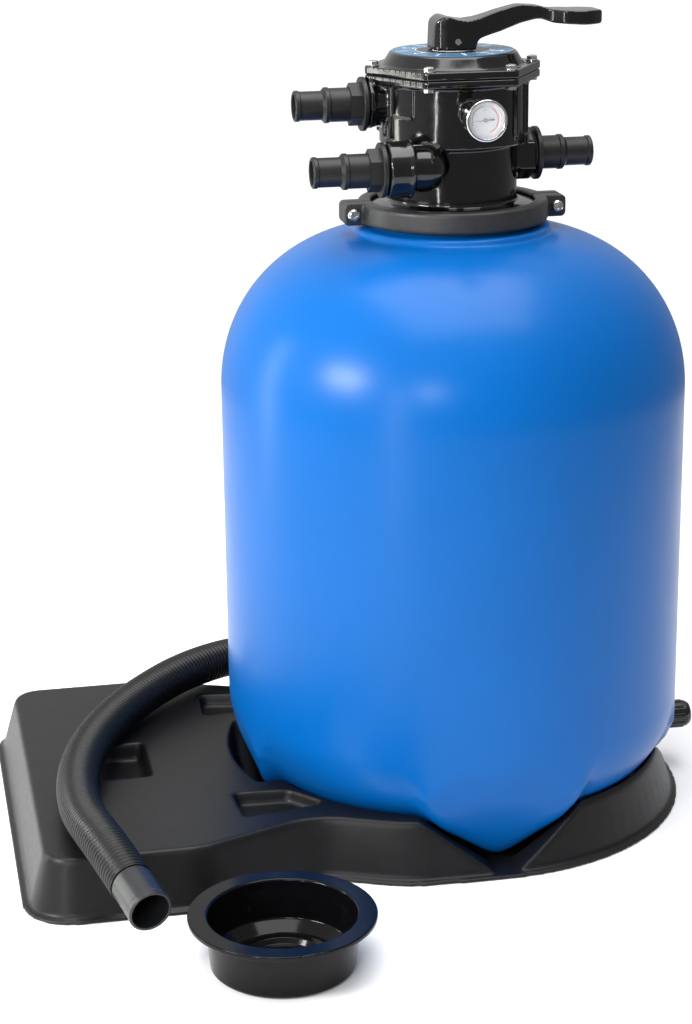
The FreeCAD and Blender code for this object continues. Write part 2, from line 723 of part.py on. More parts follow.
def handle():
    """The lever: a domed hub that the pin goes through, a rising arm and a round flat grip."""
    side = [(-25, handle_low), (handle_heel, handle_low), (23, 838), (48, 845), (71, 853), (90, 857),
            (104, 852), (134, 850), (159, 850), (159, 864.5), (129, 864.5), (103, 866), (88, 870),
            (68, 871.5),
            (46, 866), (24, 859), (12, 857), (-1, 859), (-13, 863), (-23, 857)]
    rounds = [3, 2, 8, 60, 60, 18, 20, 40, 6, 6, 60, 30, 14, 30, 60, 20, 12, 12, 9, 9]
    profile = Part.Face(rounded_wire([V(x, -40, z) for x, z in side], rounds)).extrude(V(0, 80, 0))
    plan = [(-26, -16), (-10, -23), (12, -22), (34, -13), (74, -10.5), (98, -12), (116, -24), (141, -26),
            (158, -13)]
    rounds = [14, 14, 14, 30, 60, 30, 20, 22, 14]
    points = [V(x, y, 800) for x, y in plan] + [V(x, -y, 800) for x, y in reversed(plan)]
    shadow = Part.Face(rounded_wire(points, rounds + rounds[::-1])).extrude(V(0, 0, 100))
    lever = profile.common(shadow)
    slot_half = spindle_radius + body_gap
    slot_reach = spindle_radius + body_gap + 16 * math.sin(math.radians(press_angle))
    slot = Part.makeBox(2 * slot_reach, 2 * slot_half, pin_height + 9 - handle_low + 1,
                        V(-slot_reach, -slot_half, handle_low - 1))
    hole = aimed(rod(pin_radius + fit_gap, 60), V(0, -30, pin_height), Y)
    return lever.cut(slot).cut(hole)


def handle_pin():
    return aimed(rod(pin_radius, 43), V(0, -21.5, pin_height), Y)


# ---------------------------------------------------------------- pressure gauge

def gauge_part(profile, rounds=None):
    """A round piece of the gauge from (radius, distance behind the face) points."""
    return aimed(turned(profile, rounds), V(0, gauge_face, gauge_z), Y)


def gauge_case():
    inner = gauge_radius - gauge_wall - 0.5
    back = gauge_depth
    return gauge_part([(2, back - 2), (inner, back - 2), (inner, 3), (inner + gauge_wall, 3),
                       (inner + gauge_wall, back), (2, back)], [0, 2, 0, 0, 3, 0])


def gauge_stem():
    """Threaded stem with a square for the spanner, from the valve body to the gauge's back."""
    length = (-70) - (gauge_face + gauge_depth)
    stem = gauge_part([(0, gauge_depth), (8.5, gauge_depth), (8.5, gauge_depth + 3),
                       (gauge_thread - fit_gap, gauge_depth + 9),
                       (gauge_thread - fit_gap, gauge_depth + length), (0, gauge_depth + length)],
                      [0, 0, 1, 0, 1, 0])
    square = Part.makeBox(14, 14, 7, V(-7, -7, gauge_depth + 9))
    return stem.fuse(aimed(square, V(0, gauge_face, gauge_z), Y))


def gauge_dial():
    return gauge_part([(1.4, 8), (gauge_radius - gauge_wall - 0.6, 8),
                       (gauge_radius - gauge_wall - 0.6, 9), (1.4, 9)])


def gauge_needle():
    """A pointer with a round hub, which points to the dial's lower left."""
    hub = gauge_part([(0, 5), (2.2, 5), (2.2, 7), (1.3, 7), (1.3, 10), (0, 10)])
    reach = 14.0
    outline = [V(-5, -0.9, 0), V(0, -0.9, 0), V(reach, -0.25, 0), V(reach, 0.25, 0), V(0, 0.9, 0),
               V(-5, 0.9, 0)]
    blade = Part.Face(Part.makePolygon(outline + outline[:1])).extrude(V(0, 0, 0.6))
    blade.rotate(ORIGIN, Z, 180 + needle_rest)
    return hub.fuse(aimed(blade, V(0, gauge_face + 6, gauge_z), Y))


def gauge_lens():
    return gauge_part([(0, 2), (gauge_radius - 2.2, 2), (gauge_radius - 2.2, 3), (0, 3)])


def gauge_bezel():
    inner = gauge_radius - 3
    return gauge_part([(inner, 0), (gauge_radius, 0), (gauge_radius, 6), (gauge_radius - 0.5, 6),
                       (gauge_radius - 0.5, 2.9), (gauge_radius - 2.2, 2.9), (gauge_radius - 2.2, 2),
                       (inner, 2)],
                      [0.6, 1.2, 0, 0, 0, 0, 0, 0])


# ---------------------------------------------------------------- hose tails

def hose_tail(collar):
    """A two-step tail along +Z. Its flange's face is at zero and its thread below that."""
    start = tail_flange_thick + collar
    step = start + tail_wide
    end = step + tail_step
    profile = [(tail_bore, -tail_thread), (port_bore - fit_gap, -tail_thread), (port_bore - fit_gap, 0),
               (tail_flange, 0), (tail_flange, tail_flange_thick), (tail_large, tail_flange_thick),
               (tail_large, step - tail_bead_length - 2),
               (tail_large + tail_bead, step - tail_bead_length - 1),
               (tail_large + tail_bead, step - 1), (tail_small, step + 2),
               (tail_small, end - tail_bead_length - 2),
               (tail_small + tail_bead, end - tail_bead_length - 1),
               (tail_small + tail_bead, end - 1), (tail_small - 0.5, end), (tail_bore, end)]
    rounds = [0, 1, 0, 1, 1, 0, 0, 0.4, 0.4, 1, 0, 0.4, 0.8, 0, 0.8]
    tail = turned(profile, rounds)
    if collar:
        tail = tail.fuse(hexagon(tail_hex, collar, tail_flange_thick, 1).cut(rod(tail_bore, 200, -10)))
    return tail


def port_frames():
    """Name, place of the sealing face, direction and collar length of each tail."""
    return [("pump", V(-pump_port_reach, 0, pump_port_z), -X, tail_collar),
            ("waste", V(-waste_port_reach, waste_port_y, low_port_z), -X, tail_collar),
            ("return", V(return_port_reach, 0, low_port_z), X, 0.0)]


def save_tails():
    for name, place, direction, collar in port_frames():
        seal = tube(port_bore + 5, port_bore, tail_seal_thick)
        save("tail_seal_" + name, aimed(seal, place, direction))
        save("hose_tail_" + name, aimed(hose_tail(collar), place + direction * tail_seal_thick, direction))


# ---------------------------------------------------------------- drain

def drain_part(profile, rounds=None):
    """A round piece of the drain from (radius, x) points."""
    return aimed(turned(profile, rounds), V(0, 0, drain_z), X)


def drain_pieces():
    face = drain_boss_face
    gasket = drain_part([(drain_bore, face), (drain_flange_radius, face), (drain_flange_radius, face + 2),
                         (drain_bore, face + 2)])
    body_end = face + 24
    fitting = drain_part([(6, face - 42), (drain_bore - fit_gap, face - 42),
                          (drain_bore - fit_gap, face + 2),
                          (drain_flange_radius, face + 2), (drain_flange_radius, face + 7), (13, face + 7),
                          (13, face + 10), (11, face + 10), (11, body_end), (6, body_end)],
                         [0, 1, 0, 1, 1.5, 0, 0, 0, 0.8, 0])
    nut = aimed(hexagon(20, 12, face - 36, 1).cut(rod(drain_bore, 100, face - 60)), V(0, 0, drain_z), X)
    low = body_end + rest_gap
    seal = drain_part([(4, body_end), (10.5, body_end), (10.5, low + 2), (4, low + 2)])
    cap = drain_part([(0, low + 2), (11 + fit_gap, low + 2), (11 + fit_gap, face + 10.5),
                      (drain_cap_radius - 1, face + 10.5),
                      (drain_cap_radius - 1, drain_cap_end - 5), (drain_cap_radius - 4, drain_cap_end),
                      (0, drain_cap_end)],
                     [0, 0, 0, 1, 3, 3, 0])
    for i in range(drain_ribs):
        rib = Part.makeBox(2, 3, drain_cap_end - 8 - face - 11, V(drain_cap_radius - 2, -1.5, face + 11))
        cap = cap.fuse(aimed(spun(rib, i * 360 / drain_ribs), V(0, 0, drain_z), X))
    return {"drain_gasket": gasket, "drain_fitting": fitting, "drain_locknut": nut,
            "drain_cap_seal": seal, "drain_cap": cap.removeSplitter()}


# ---------------------------------------------------------------- inside the tank

def standpipe():
    return tube(pipe_radius, pipe_radius - pipe_wall, pipe_top - hub_low - 12, hub_low + 12)


def lateral_hub():
    """The foot of the standpipe, with a socket for the pipe and one for each lateral."""
    hub = turned([(0, hub_low), (hub_radius - 6, hub_low), (hub_radius, lateral_z - 12),
                  (hub_radius, lateral_z + 12),
                  (pipe_radius + 5, hub_low + hub_height), (0, hub_low + hub_height)], [0, 3, 3, 3, 2, 0])
    hub = hub.cut(rod(pipe_radius, hub_height, hub_low + 12))
    hub = hub.cut(rod(pipe_radius - 5, hub_height, hub_low + 6))
    for i in range(lateral_count):
        azimuth = 360 / lateral_count * (i + 0.5)
        outwards = around(azimuth, 1)
        hub = hub.cut(aimed(rod(lateral_radius - 2, hub_radius), V(0, 0, lateral_z), outwards))
        hub = hub.cut(aimed(rod(lateral_radius, 40), around(azimuth, hub_radius - 10, lateral_z), outwards))
    return hub


def laterals():
    """Slotted fingers that collect the filtered water at the bottom of the tank."""
    start = hub_radius - 10
    wall = 2.0
    rings = 9
    profile = [(lateral_radius - wall, 0), (lateral_radius, 0)]
    for i in range(rings):
        low = 16 + i * 9.5
        profile += [(lateral_radius, low), (lateral_radius - 1, low), (lateral_radius - 1, low + 1.2),
                    (lateral_radius, low + 1.2)]
    profile += [(lateral_radius, lateral_length), (0, lateral_length), (0, lateral_length - wall),
                (lateral_radius - wall, lateral_length - wall)]
    finger = turned(profile)
    return group([aimed(finger, around(360 / lateral_count * (i + 0.5), start, lateral_z),
                        around(360 / lateral_count * (i + 0.5), 1)) for i in range(lateral_count)])


def diffuser():
    """A slotted basket round the standpipe that spreads the incoming water."""
    top = diffuser_low + diffuser_height
    wall = 3.0
    inner = pipe_radius + body_gap
    basket = turned([(inner, diffuser_low), (diffuser_radius, diffuser_low), (diffuser_radius, top),
                     (diffuser_radius - wall, top), (diffuser_radius - wall, diffuser_low + wall),
                     (inner + wall, diffuser_low + wall), (inner + wall, diffuser_low + 16),
                     (inner, diffuser_low + 16)],
                    [0, 3, 0, 0, 1, 1, 0, 0])
    slot = Part.makeBox(diffuser_radius * 2.4, 4, diffuser_height - 14,
                        V(-diffuser_radius * 1.2, -2, diffuser_low + 8))
    hollow_core = tube(diffuser_radius + 10, diffuser_radius - wall - 1, 200, diffuser_low - 50)
    for i in range(9):
        basket = basket.cut(spun(slot, 20 * i).common(hollow_core))
    return basket


# ---------------------------------------------------------------- cup

def cup():
    """A flanged cup with a stepped floor."""
    top = cup_height
    low = top - cup_flange_thick
    inner_foot = cup_foot_radius - cup_wall
    inner_mouth = cup_mouth_radius - cup_wall
    floor = cup_wall
    shape = turned([(0, 0), (cup_foot_radius, 0), (cup_mouth_radius, low), (cup_flange_radius, low - 1.5),
                    (cup_flange_radius, top), (inner_mouth, top), (inner_foot, floor + 12),
                    (inner_foot - 12, floor + 2), (52, floor + 2), (48, floor + 5), (40, floor + 5),
                    (36, floor), (0, floor)],
                   [0, 5, 2, 1.2, 1.2, 2.5, 4, 2, 1, 1, 1, 1, 0])
    shape.translate(V(cup_x, cup_y, 0))
    return shape


# ---------------------------------------------------------------- hose

def route_radii(route):
    """The largest arc that each corner's runs leave room for."""
    radii = [0.0]
    for before, corner, after in zip(route, route[1:], route[2:]):
        into, out = corner - before, after - corner
        radii.append(0.45 * min(into.Length, out.Length) / math.tan(into.getAngle(out) / 2))
    return radii + [0.0]


def hose():
    radii = route_radii(hose_route)
    path = rounded_wire(hose_route, radii, closed=False)
    direction = hose_route[1] - hose_route[0]
    section = Part.Wire(Part.makeCircle(hose_radius, hose_route[0], direction))
    solid = path.makePipeShell([section], True, False)
    expected = math.pi * hose_radius ** 2 * path.Length
    print("hose radii", [round(radius) for radius in radii[1:-1]], "length", round(path.Length),
          "volume ratio", round(solid.Volume / expected, 4))
    return solid


def cuff(place, direction):
    """A smooth sleeve on the end of the hose, with a thick mouth."""
    sleeve = turned([(cuff_bore, 0), (cuff_radius, 0), (cuff_radius, cuff_length - 8),
                     (cuff_radius + 0.7, cuff_length - 6),
                     (cuff_radius + 0.7, cuff_length), (cuff_bore, cuff_length)],
                    [0, 0.8, 0, 0.5, 1, 0.8])
    return aimed(sleeve, place, direction)


def main():
    os.makedirs("parts", exist_ok=True)
    save("tank", tank())
    save("base", base())
    save("neck_seal", neck_seal())
    save("clamp_front", clamp_half(-1))
    save("clamp_rear", clamp_half(1))
    bolts, nuts = clamp_bolt_set()
    save("clamp_bolts", bolts)
    save("clamp_nuts", nuts)
    save("valve_body", valve_body())
    save("valve_cover", valve_cover())
    save("cover_seal", cover_seal())
    bolts, nuts = cover_bolt_set()
    save("cover_bolts", bolts)
    save("cover_nuts", nuts)
    save("label_disc", label_disc())
    save("spider_gasket", spider_gasket())
    save("rotor", rotor())
    save("spindle", spindle())
    save("spindle_seals", spindle_seals())
    save("rotor_spring", rotor_spring())
    save("thrust_washer", thrust_washer())
    save("handle", handle())
    save("handle_pin", handle_pin())
    save("gauge_case", gauge_case())
    save("gauge_stem", gauge_stem())
    save("gauge_dial", gauge_dial())
    save("gauge_needle", gauge_needle())
    save("gauge_lens", gauge_lens())
    save("gauge_bezel", gauge_bezel())
    save_tails()
    for node, shape in drain_pieces().items():
        save(node, shape)
    save("standpipe", standpipe())
    save("lateral_hub", lateral_hub())
    save("laterals", laterals())
    save("diffuser", diffuser())
    save("cup", cup())
    save("hose", hose())
    save("hose_cuff_front", cuff(hose_route[0], hose_route[0] - hose_route[1]))
    save("hose_cuff_rear", cuff(hose_route[-1], hose_route[-1] - hose_route[-2]))


main()
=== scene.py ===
"""Pool sand filter kit: its looks, built round the packed model.

Lengths are in metres. The tank's axis is Z and its floor is at zero. The pump platform lies
towards -X, the drain towards +X and the pressure gauge faces -Y.
"""
import math

import bmesh
import bpy
from mathutils import Matrix, Vector


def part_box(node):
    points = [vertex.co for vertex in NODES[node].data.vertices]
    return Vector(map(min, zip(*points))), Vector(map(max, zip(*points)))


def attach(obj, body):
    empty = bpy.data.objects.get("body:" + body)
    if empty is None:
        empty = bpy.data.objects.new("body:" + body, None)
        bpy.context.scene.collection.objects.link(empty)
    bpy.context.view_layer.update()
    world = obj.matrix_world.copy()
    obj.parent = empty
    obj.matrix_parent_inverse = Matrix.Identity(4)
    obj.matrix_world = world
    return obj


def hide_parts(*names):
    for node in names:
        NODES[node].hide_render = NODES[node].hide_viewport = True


bl_info = {
    "name": "Pool Sand Filter Kit",
    "version": (1, 0, 0),
    "blender": (4, 5, 0),
    "location": "View3D > Sidebar > Filter Kit",
    "description": "Builds the visible pieces of a pool sand filter round its packed model",
    "category": "Add Mesh",
}

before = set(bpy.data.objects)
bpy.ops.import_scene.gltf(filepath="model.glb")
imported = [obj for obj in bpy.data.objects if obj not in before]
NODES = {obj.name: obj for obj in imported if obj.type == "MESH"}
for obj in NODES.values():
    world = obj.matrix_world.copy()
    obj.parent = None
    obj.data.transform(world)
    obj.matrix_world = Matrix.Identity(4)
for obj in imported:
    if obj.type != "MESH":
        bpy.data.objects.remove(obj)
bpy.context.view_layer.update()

LABEL_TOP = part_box("label_disc")[1].z
LABEL_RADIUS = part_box("label_disc")[1].x
DIAL_LOW, DIAL_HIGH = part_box("gauge_dial")
DIAL_CENTRE = Vector((0.0, DIAL_LOW.y, (DIAL_LOW.z + DIAL_HIGH.z) / 2))
CAP_LOW, CAP_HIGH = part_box("drain_cap")

# The hose's own points, from its front end on the platform to its rear end behind the tank
HOSE_ROUTE = [
    (-0.401, -0.336, 0.0770), (-0.420, -0.268, 0.0910), (-0.435, -0.190, 0.0865),
    (-0.434, -0.108, 0.0852), (-0.419, -0.030, 0.0853), (-0.389, 0.048, 0.0852),
    (-0.341, 0.126, 0.0860), (-0.274, 0.193, 0.0905), (-0.192, 0.250, 0.0840),
    (-0.112, 0.300, 0.0480), (-0.020, 0.330, 0.0240), (0.068, 0.337, 0.0234),
]


TANK_CORNER = 0.105          # rounding between the tank's bottom and its wall
DIGIT_SIZE = 0.0026          # height of the dial's numbers
WASHER_HIGH = 0.0012         # thickness of a cover screw's washer
HEAD_HIGH = 0.0052           # height of a cover screw's head with its washer
CLAMP_HEAD_HIGH = 0.0050     # height of a clamp screw's head


# ---------------------------------------------------------------- objects and meshes

def add_object(name, data):
    piece = bpy.data.objects.new(name, data)
    bpy.context.scene.collection.objects.link(piece)
    return piece


def evaluated_mesh(piece):
    """The piece's mesh with its modifiers carried out."""
    graph = bpy.context.evaluated_depsgraph_get()
    return bpy.data.meshes.new_from_object(piece.evaluated_get(graph), depsgraph=graph)


def settle(piece):
    """Carry out the piece's modifiers and remove them."""
    mesh = evaluated_mesh(piece)
    piece.modifiers.clear()
    old = piece.data
    piece.data = mesh
    bpy.data.meshes.remove(old)
    return piece


def smooth(mesh, angle=None):
    """Shade a mesh smooth, and keep edges sharp where its faces meet at more than an angle."""
    for face in mesh.polygons:
        face.use_smooth = True
    if angle is not None:
        mesh.set_sharp_from_angle(angle=math.radians(angle))


def finish_piece(piece, material, body, replaced=()):
    """Give a piece its finish and body, and hide the CAD nodes that it stands for."""
    if material is not None:
        piece.data.materials.clear()
        piece.data.materials.append(material)
    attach(piece, body)
    if replaced:
        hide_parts(*replaced)
    return piece


def mesh_from(bm, name, angle=None):
    mesh = bpy.data.meshes.new(name)
    bmesh.ops.recalc_face_normals(bm, faces=bm.faces)
    bm.to_mesh(mesh)
    bm.free()
    smooth(mesh, angle)
    return mesh


def lathe(bm, profile, steps, place=Matrix.Identity(4)):
    """Turn a closed profile of (radius, height) points round Z. A point at radius zero is a pole."""
    rings = []
    for radius, height in profile:
        if radius < 1e-9:
            rings.append([bm.verts.new(place @ Vector((0.0, 0.0, height)))])
            continue
        rings.append([bm.verts.new(place @ Vector((radius * math.cos(2 * math.pi * i / steps),
                                                   radius * math.sin(2 * math.pi * i / steps), height)))
                      for i in range(steps)])
    for first, second in zip(rings, rings[1:] + rings[:1]):
        if len(first) == 1 and len(second) == 1:
            continue
        for i in range(steps):
            j = (i + 1) % steps
            corners = [first[i % len(first)], first[j % len(first)],
                       second[j % len(second)], second[i % len(second)]]
            corners = [v for k, v in enumerate(corners) if v not in corners[:k]]
            bm.faces.new(corners)


def prism(bm, outline, low, high, place=Matrix.Identity(4)):
    """A flat plate with a straight edge, from an outline in X and Y."""
    bottom = [bm.verts.new(place @ Vector((x, y, low))) for x, y in outline]
    top = [bm.verts.new(place @ Vector((x, y, high))) for x, y in outline]
    bm.faces.new(bottom[::-1])
    bm.faces.new(top)
    for i in range(len(outline)):
        j = (i + 1) % len(outline)
        bm.faces.new([bottom[i], bottom[j], top[j], top[i]])


def arc_outline(inner, outer, start, end, steps=32):
    """The outline of a flat ring's sector, with its angles in degrees."""
    angles = [math.radians(start + (end - start) * i / steps) for i in range(steps + 1)]
    return ([(outer * math.cos(a), outer * math.sin(a)) for a in angles]
            + [(inner * math.cos(a), inner * math.sin(a)) for a in reversed(angles)])


def hexagon(radius):
    return [(radius * math.cos(math.pi / 3 * i), radius * math.sin(math.pi / 3 * i)) for i in range(6)]


def plate(name, outline, low, high, angle=None):
    """A new piece that is one flat plate."""
    bm = bmesh.new()
    prism(bm, outline, low, high)
    return add_object(name, mesh_from(bm, name, angle))


def softened(name, node, voxel, passes, share=1.0):
    """A copy of a CAD node with the rounded edges of a moulding."""
    mesh = NODES[node].data.copy()
    bm = bmesh.new()
    bm.from_mesh(mesh)
    bmesh.ops.remove_doubles(bm, verts=bm.verts, dist=1e-6)
    bm.to_mesh(mesh)
    bm.free()
    piece = add_object(name, mesh)
    remesh = piece.modifiers.new("Even mesh", "REMESH")
    remesh.mode = "VOXEL"
    remesh.voxel_size = voxel
    rounding = piece.modifiers.new("Rounded edges", "SMOOTH")
    rounding.factor = 0.5
    rounding.iterations = passes
    if share < 1.0:
        thinning = piece.modifiers.new("Fewer faces", "DECIMATE")
        thinning.ratio = share
    settle(piece)
    smooth(piece.data)
    return piece


# ---------------------------------------------------------------- geometry node trees

def new_tree(name, inputs):
    """An empty tree with named inputs, and its input and output nodes."""
    tree = bpy.data.node_groups.new(name, "GeometryNodeTree")
    tree.interface.new_socket("Geometry", in_out="OUTPUT", socket_type="NodeSocketGeometry")
    for label, kind in inputs:
        tree.interface.new_socket(label, in_out="INPUT", socket_type="NodeSocket" + kind)
    return tree, tree.nodes.new("NodeGroupInput"), tree.nodes.new("NodeGroupOutput")


def painted(tree, shape, given, result):
    """End a tree: make its copies real and give them the finish."""
    nodes, link = tree.nodes, tree.links.new
    real = nodes.new("GeometryNodeRealizeInstances")
    link(shape, real.inputs["Geometry"])
    paint = nodes.new("GeometryNodeSetMaterial")
    link(real.outputs["Geometry"], paint.inputs["Geometry"])
    link(given.outputs["Finish"], paint.inputs["Material"])
    link(paint.outputs["Geometry"], result.inputs["Geometry"])
    return tree


def ring_tree():
    """A part repeated round Z, with each copy's own X axis pointing outwards."""
    tree, given, result = new_tree("Ring of parts", [
        ("Part", "Object"), ("Count", "Int"), ("Radius", "Float"), ("Height", "Float"),
        ("Finish", "Material")])
    nodes, link = tree.nodes, tree.links.new
    circle = nodes.new("GeometryNodeMeshCircle")
    link(given.outputs["Count"], circle.inputs["Vertices"])
    link(given.outputs["Radius"], circle.inputs["Radius"])
    part = nodes.new("GeometryNodeObjectInfo")
    link(given.outputs["Part"], part.inputs["Object"])
    place = nodes.new("GeometryNodeInputPosition")
    turn = nodes.new("FunctionNodeAlignRotationToVector")
    turn.axis = "X"
    turn.pivot_axis = "Z"
    link(place.outputs["Position"], turn.inputs["Vector"])
    copies = nodes.new("GeometryNodeInstanceOnPoints")
    link(circle.outputs["Mesh"], copies.inputs["Points"])
    link(part.outputs["Geometry"], copies.inputs["Instance"])
    link(turn.outputs["Rotation"], copies.inputs["Rotation"])
    raise_to = nodes.new("ShaderNodeCombineXYZ")
    link(given.outputs["Height"], raise_to.inputs["Z"])
    lifted = nodes.new("GeometryNodeTransform")
    link(copies.outputs["Instances"], lifted.inputs["Geometry"])
    link(raise_to.outputs["Vector"], lifted.inputs["Translation"])
    return painted(tree, lifted.outputs["Geometry"], given, result)


def corrugated_tree():
    """A round tube along a line, with rings that rise and fall along its length."""
    tree, given, result = new_tree("Corrugated tube", [
        ("Line", "Object"), ("Radius", "Float"), ("Pitch", "Float"), ("Depth", "Float"),
        ("Sides", "Int"), ("Finish", "Material")])
    nodes, link = tree.nodes, tree.links.new

    def maths(operation, first, second=None, third=None):
        node = nodes.new("ShaderNodeMath")
        node.operation = operation
        for socket, value in zip(node.inputs, (first, second, third)):
            if value is None:
                continue
            if isinstance(value, (int, float)):
                socket.default_value = value
            else:
                link(value, socket)
        return node.outputs["Value"]

    line = nodes.new("GeometryNodeObjectInfo")
    link(given.outputs["Line"], line.inputs["Object"])
    even = nodes.new("GeometryNodeResampleCurve")
    even.mode = "LENGTH"
    link(line.outputs["Geometry"], even.inputs["Curve"])
    link(maths("DIVIDE", given.outputs["Pitch"], 6.0), even.inputs["Length"])
    along = nodes.new("GeometryNodeSplineParameter")
    turns = maths("DIVIDE", along.outputs["Length"], given.outputs["Pitch"])
    wave = maths("COSINE", maths("MULTIPLY", turns, 2 * math.pi))
    valley = maths("POWER", maths("MULTIPLY_ADD", wave, -0.5, 0.5), 2.5)
    scale = maths("SUBTRACT", 1.0, maths("MULTIPLY", valley, given.outputs["Depth"]))
    circle = nodes.new("GeometryNodeCurvePrimitiveCircle")
    link(given.outputs["Sides"], circle.inputs["Resolution"])
    link(given.outputs["Radius"], circle.inputs["Radius"])
    tube = nodes.new("GeometryNodeCurveToMesh")
    link(even.outputs["Curve"], tube.inputs["Curve"])
    link(circle.outputs["Curve"], tube.inputs["Profile Curve"])
    link(scale, tube.inputs["Scale"])
    tube.inputs["Fill Caps"].default_value = True
    return painted(tree, tube.outputs["Mesh"], given, result)


def grown(name, tree, **values):
    """A new piece whose plain mesh a tree makes from these values."""
    piece = add_object(name, bpy.data.meshes.new(name))
    modifier = piece.modifiers.new(tree.name, "NODES")
    modifier.node_group = tree
    for item in tree.interface.items_tree:
        if item.in_out == "INPUT" and item.name in values:
            modifier[item.identifier] = values[item.name]
    return settle(piece)


# ---------------------------------------------------------------- finishes

def surface(name, colour, roughness, metallic=0.0, specular=0.5, ior=1.5, mottle=0.06, mottle_size=0.03,
            uneven=0.06, grain=0.0, grain_size=0.0006, ripple=0.0, ripple_size=0.03, edge_highlight=0.0, alpha=1.0):
    """A finish with colour drift, uneven gloss, grain, slight ripples and painted highlights on its sharp
    edges.
    """
    material = bpy.data.materials.new(name)
    material.use_nodes = True
    nodes, link = material.node_tree.nodes, material.node_tree.links.new
    shader = nodes["Principled BSDF"]
    shader.inputs["Metallic"].default_value = metallic
    shader.inputs["Specular IOR Level"].default_value = specular
    shader.inputs["IOR"].default_value = ior
    shader.inputs["Alpha"].default_value = alpha
    coords = nodes.new("ShaderNodeTexCoord").outputs["Object"]

    def noise(size, detail=2.0):
        node = nodes.new("ShaderNodeTexNoise")
        node.inputs["Scale"].default_value = 1 / size
        node.inputs["Detail"].default_value = detail
        link(coords, node.inputs["Vector"])
        return node.outputs["Fac"]

    def remap(value, low, high, start=0.3, end=0.7):
        node = nodes.new("ShaderNodeMapRange")
        for label, number in (("From Min", start), ("From Max", end), ("To Min", low), ("To Max", high)):
            node.inputs[label].default_value = number
        link(value, node.inputs["Value"])
        return node.outputs["Result"]

    def blend(factor, first, second):
        node = nodes.new("ShaderNodeMix")
        node.data_type = "RGBA"
        link(factor, node.inputs[0])
        for socket, value in ((node.inputs[6], first), (node.inputs[7], second)):
            if isinstance(value, bpy.types.NodeSocket):
                link(value, socket)
            else:
                socket.default_value = (*value, 1.0)
        return node.outputs[2]

    dark = [c * (1 - mottle) for c in colour]
    light = [min(1.0, c * (1 + mottle)) for c in colour]
    tint = blend(remap(noise(mottle_size, 4.0), 0.0, 1.0), dark, light)
    # painted highlight: the sharpest edges are painted lighter, in place of the glints of light on their
    # rounding
    if edge_highlight:
        highlight_tint = [min(1.0, c * 2.5 + 0.03) for c in colour]
        edges = remap(nodes.new("ShaderNodeNewGeometry").outputs["Pointiness"], 0.0, edge_highlight, 0.52, 0.60)
        tint = blend(edges, tint, highlight_tint)
    link(tint, shader.inputs["Base Color"])
    gloss = remap(noise(mottle_size * 0.4, 3.0), roughness - uneven * roughness,
                  roughness + uneven * roughness)
    link(gloss, shader.inputs["Roughness"])
    normal = None
    for depth, size, detail in ((ripple, ripple_size, 1.0), (grain, grain_size, 3.0)):
        if depth:
            bump = nodes.new("ShaderNodeBump")
            bump.inputs["Strength"].default_value = 1.0
            bump.inputs["Distance"].default_value = depth
            link(noise(size, detail), bump.inputs["Height"])
            if normal is not None:
                link(normal, bump.inputs["Normal"])
            normal = bump.outputs["Normal"]
    if normal is not None:
        link(normal, shader.inputs["Normal"])
    return material


def label_finish(blue, black, hub_radius):
    """The printed disc: blue outside, black inside, with a thin pale line between them."""
    material = surface("Printed label", blue, 0.3, mottle=0.05, grain=0.00002)
    nodes, link = material.node_tree.nodes, material.node_tree.links.new
    shader = nodes["Principled BSDF"]
    tint = shader.inputs["Base Color"].links[0].from_socket
    coords = nodes.new("ShaderNodeTexCoord").outputs["Object"]
    flat = nodes.new("ShaderNodeVectorMath")
    flat.operation = "MULTIPLY"
    flat.inputs[1].default_value = (1.0, 1.0, 0.0)
    link(coords, flat.inputs[0])
    length = nodes.new("ShaderNodeVectorMath")
    length.operation = "LENGTH"
    link(flat.outputs["Vector"], length.inputs[0])
    ramp = nodes.new("ShaderNodeMapRange")
    ramp.inputs["From Max"].default_value = LABEL_RADIUS
    link(length.outputs["Value"], ramp.inputs["Value"])
    bands = nodes.new("ShaderNodeValToRGB")
    bands.color_ramp.interpolation = "CONSTANT"
    share = hub_radius / LABEL_RADIUS
    stops = bands.color_ramp.elements
    stops[0].position, stops[0].color = 0.0, (*black, 1.0)
    stops[1].position, stops[1].color = share, (0.72, 0.8, 0.86, 1.0)
    link(ramp.outputs["Result"], bands.inputs["Fac"])
    outside = nodes.new("ShaderNodeMath")
    outside.operation = "GREATER_THAN"
    outside.inputs[1].default_value = share + 0.014
    link(ramp.outputs["Result"], outside.inputs[0])
    mix = nodes.new("ShaderNodeMix")
    mix.data_type = "RGBA"
    link(outside.outputs["Value"], mix.inputs[0])
    link(bands.outputs["Color"], mix.inputs[6])
    link(tint, mix.inputs[7])
    link(mix.outputs[2], shader.inputs["Base Color"])
    return material


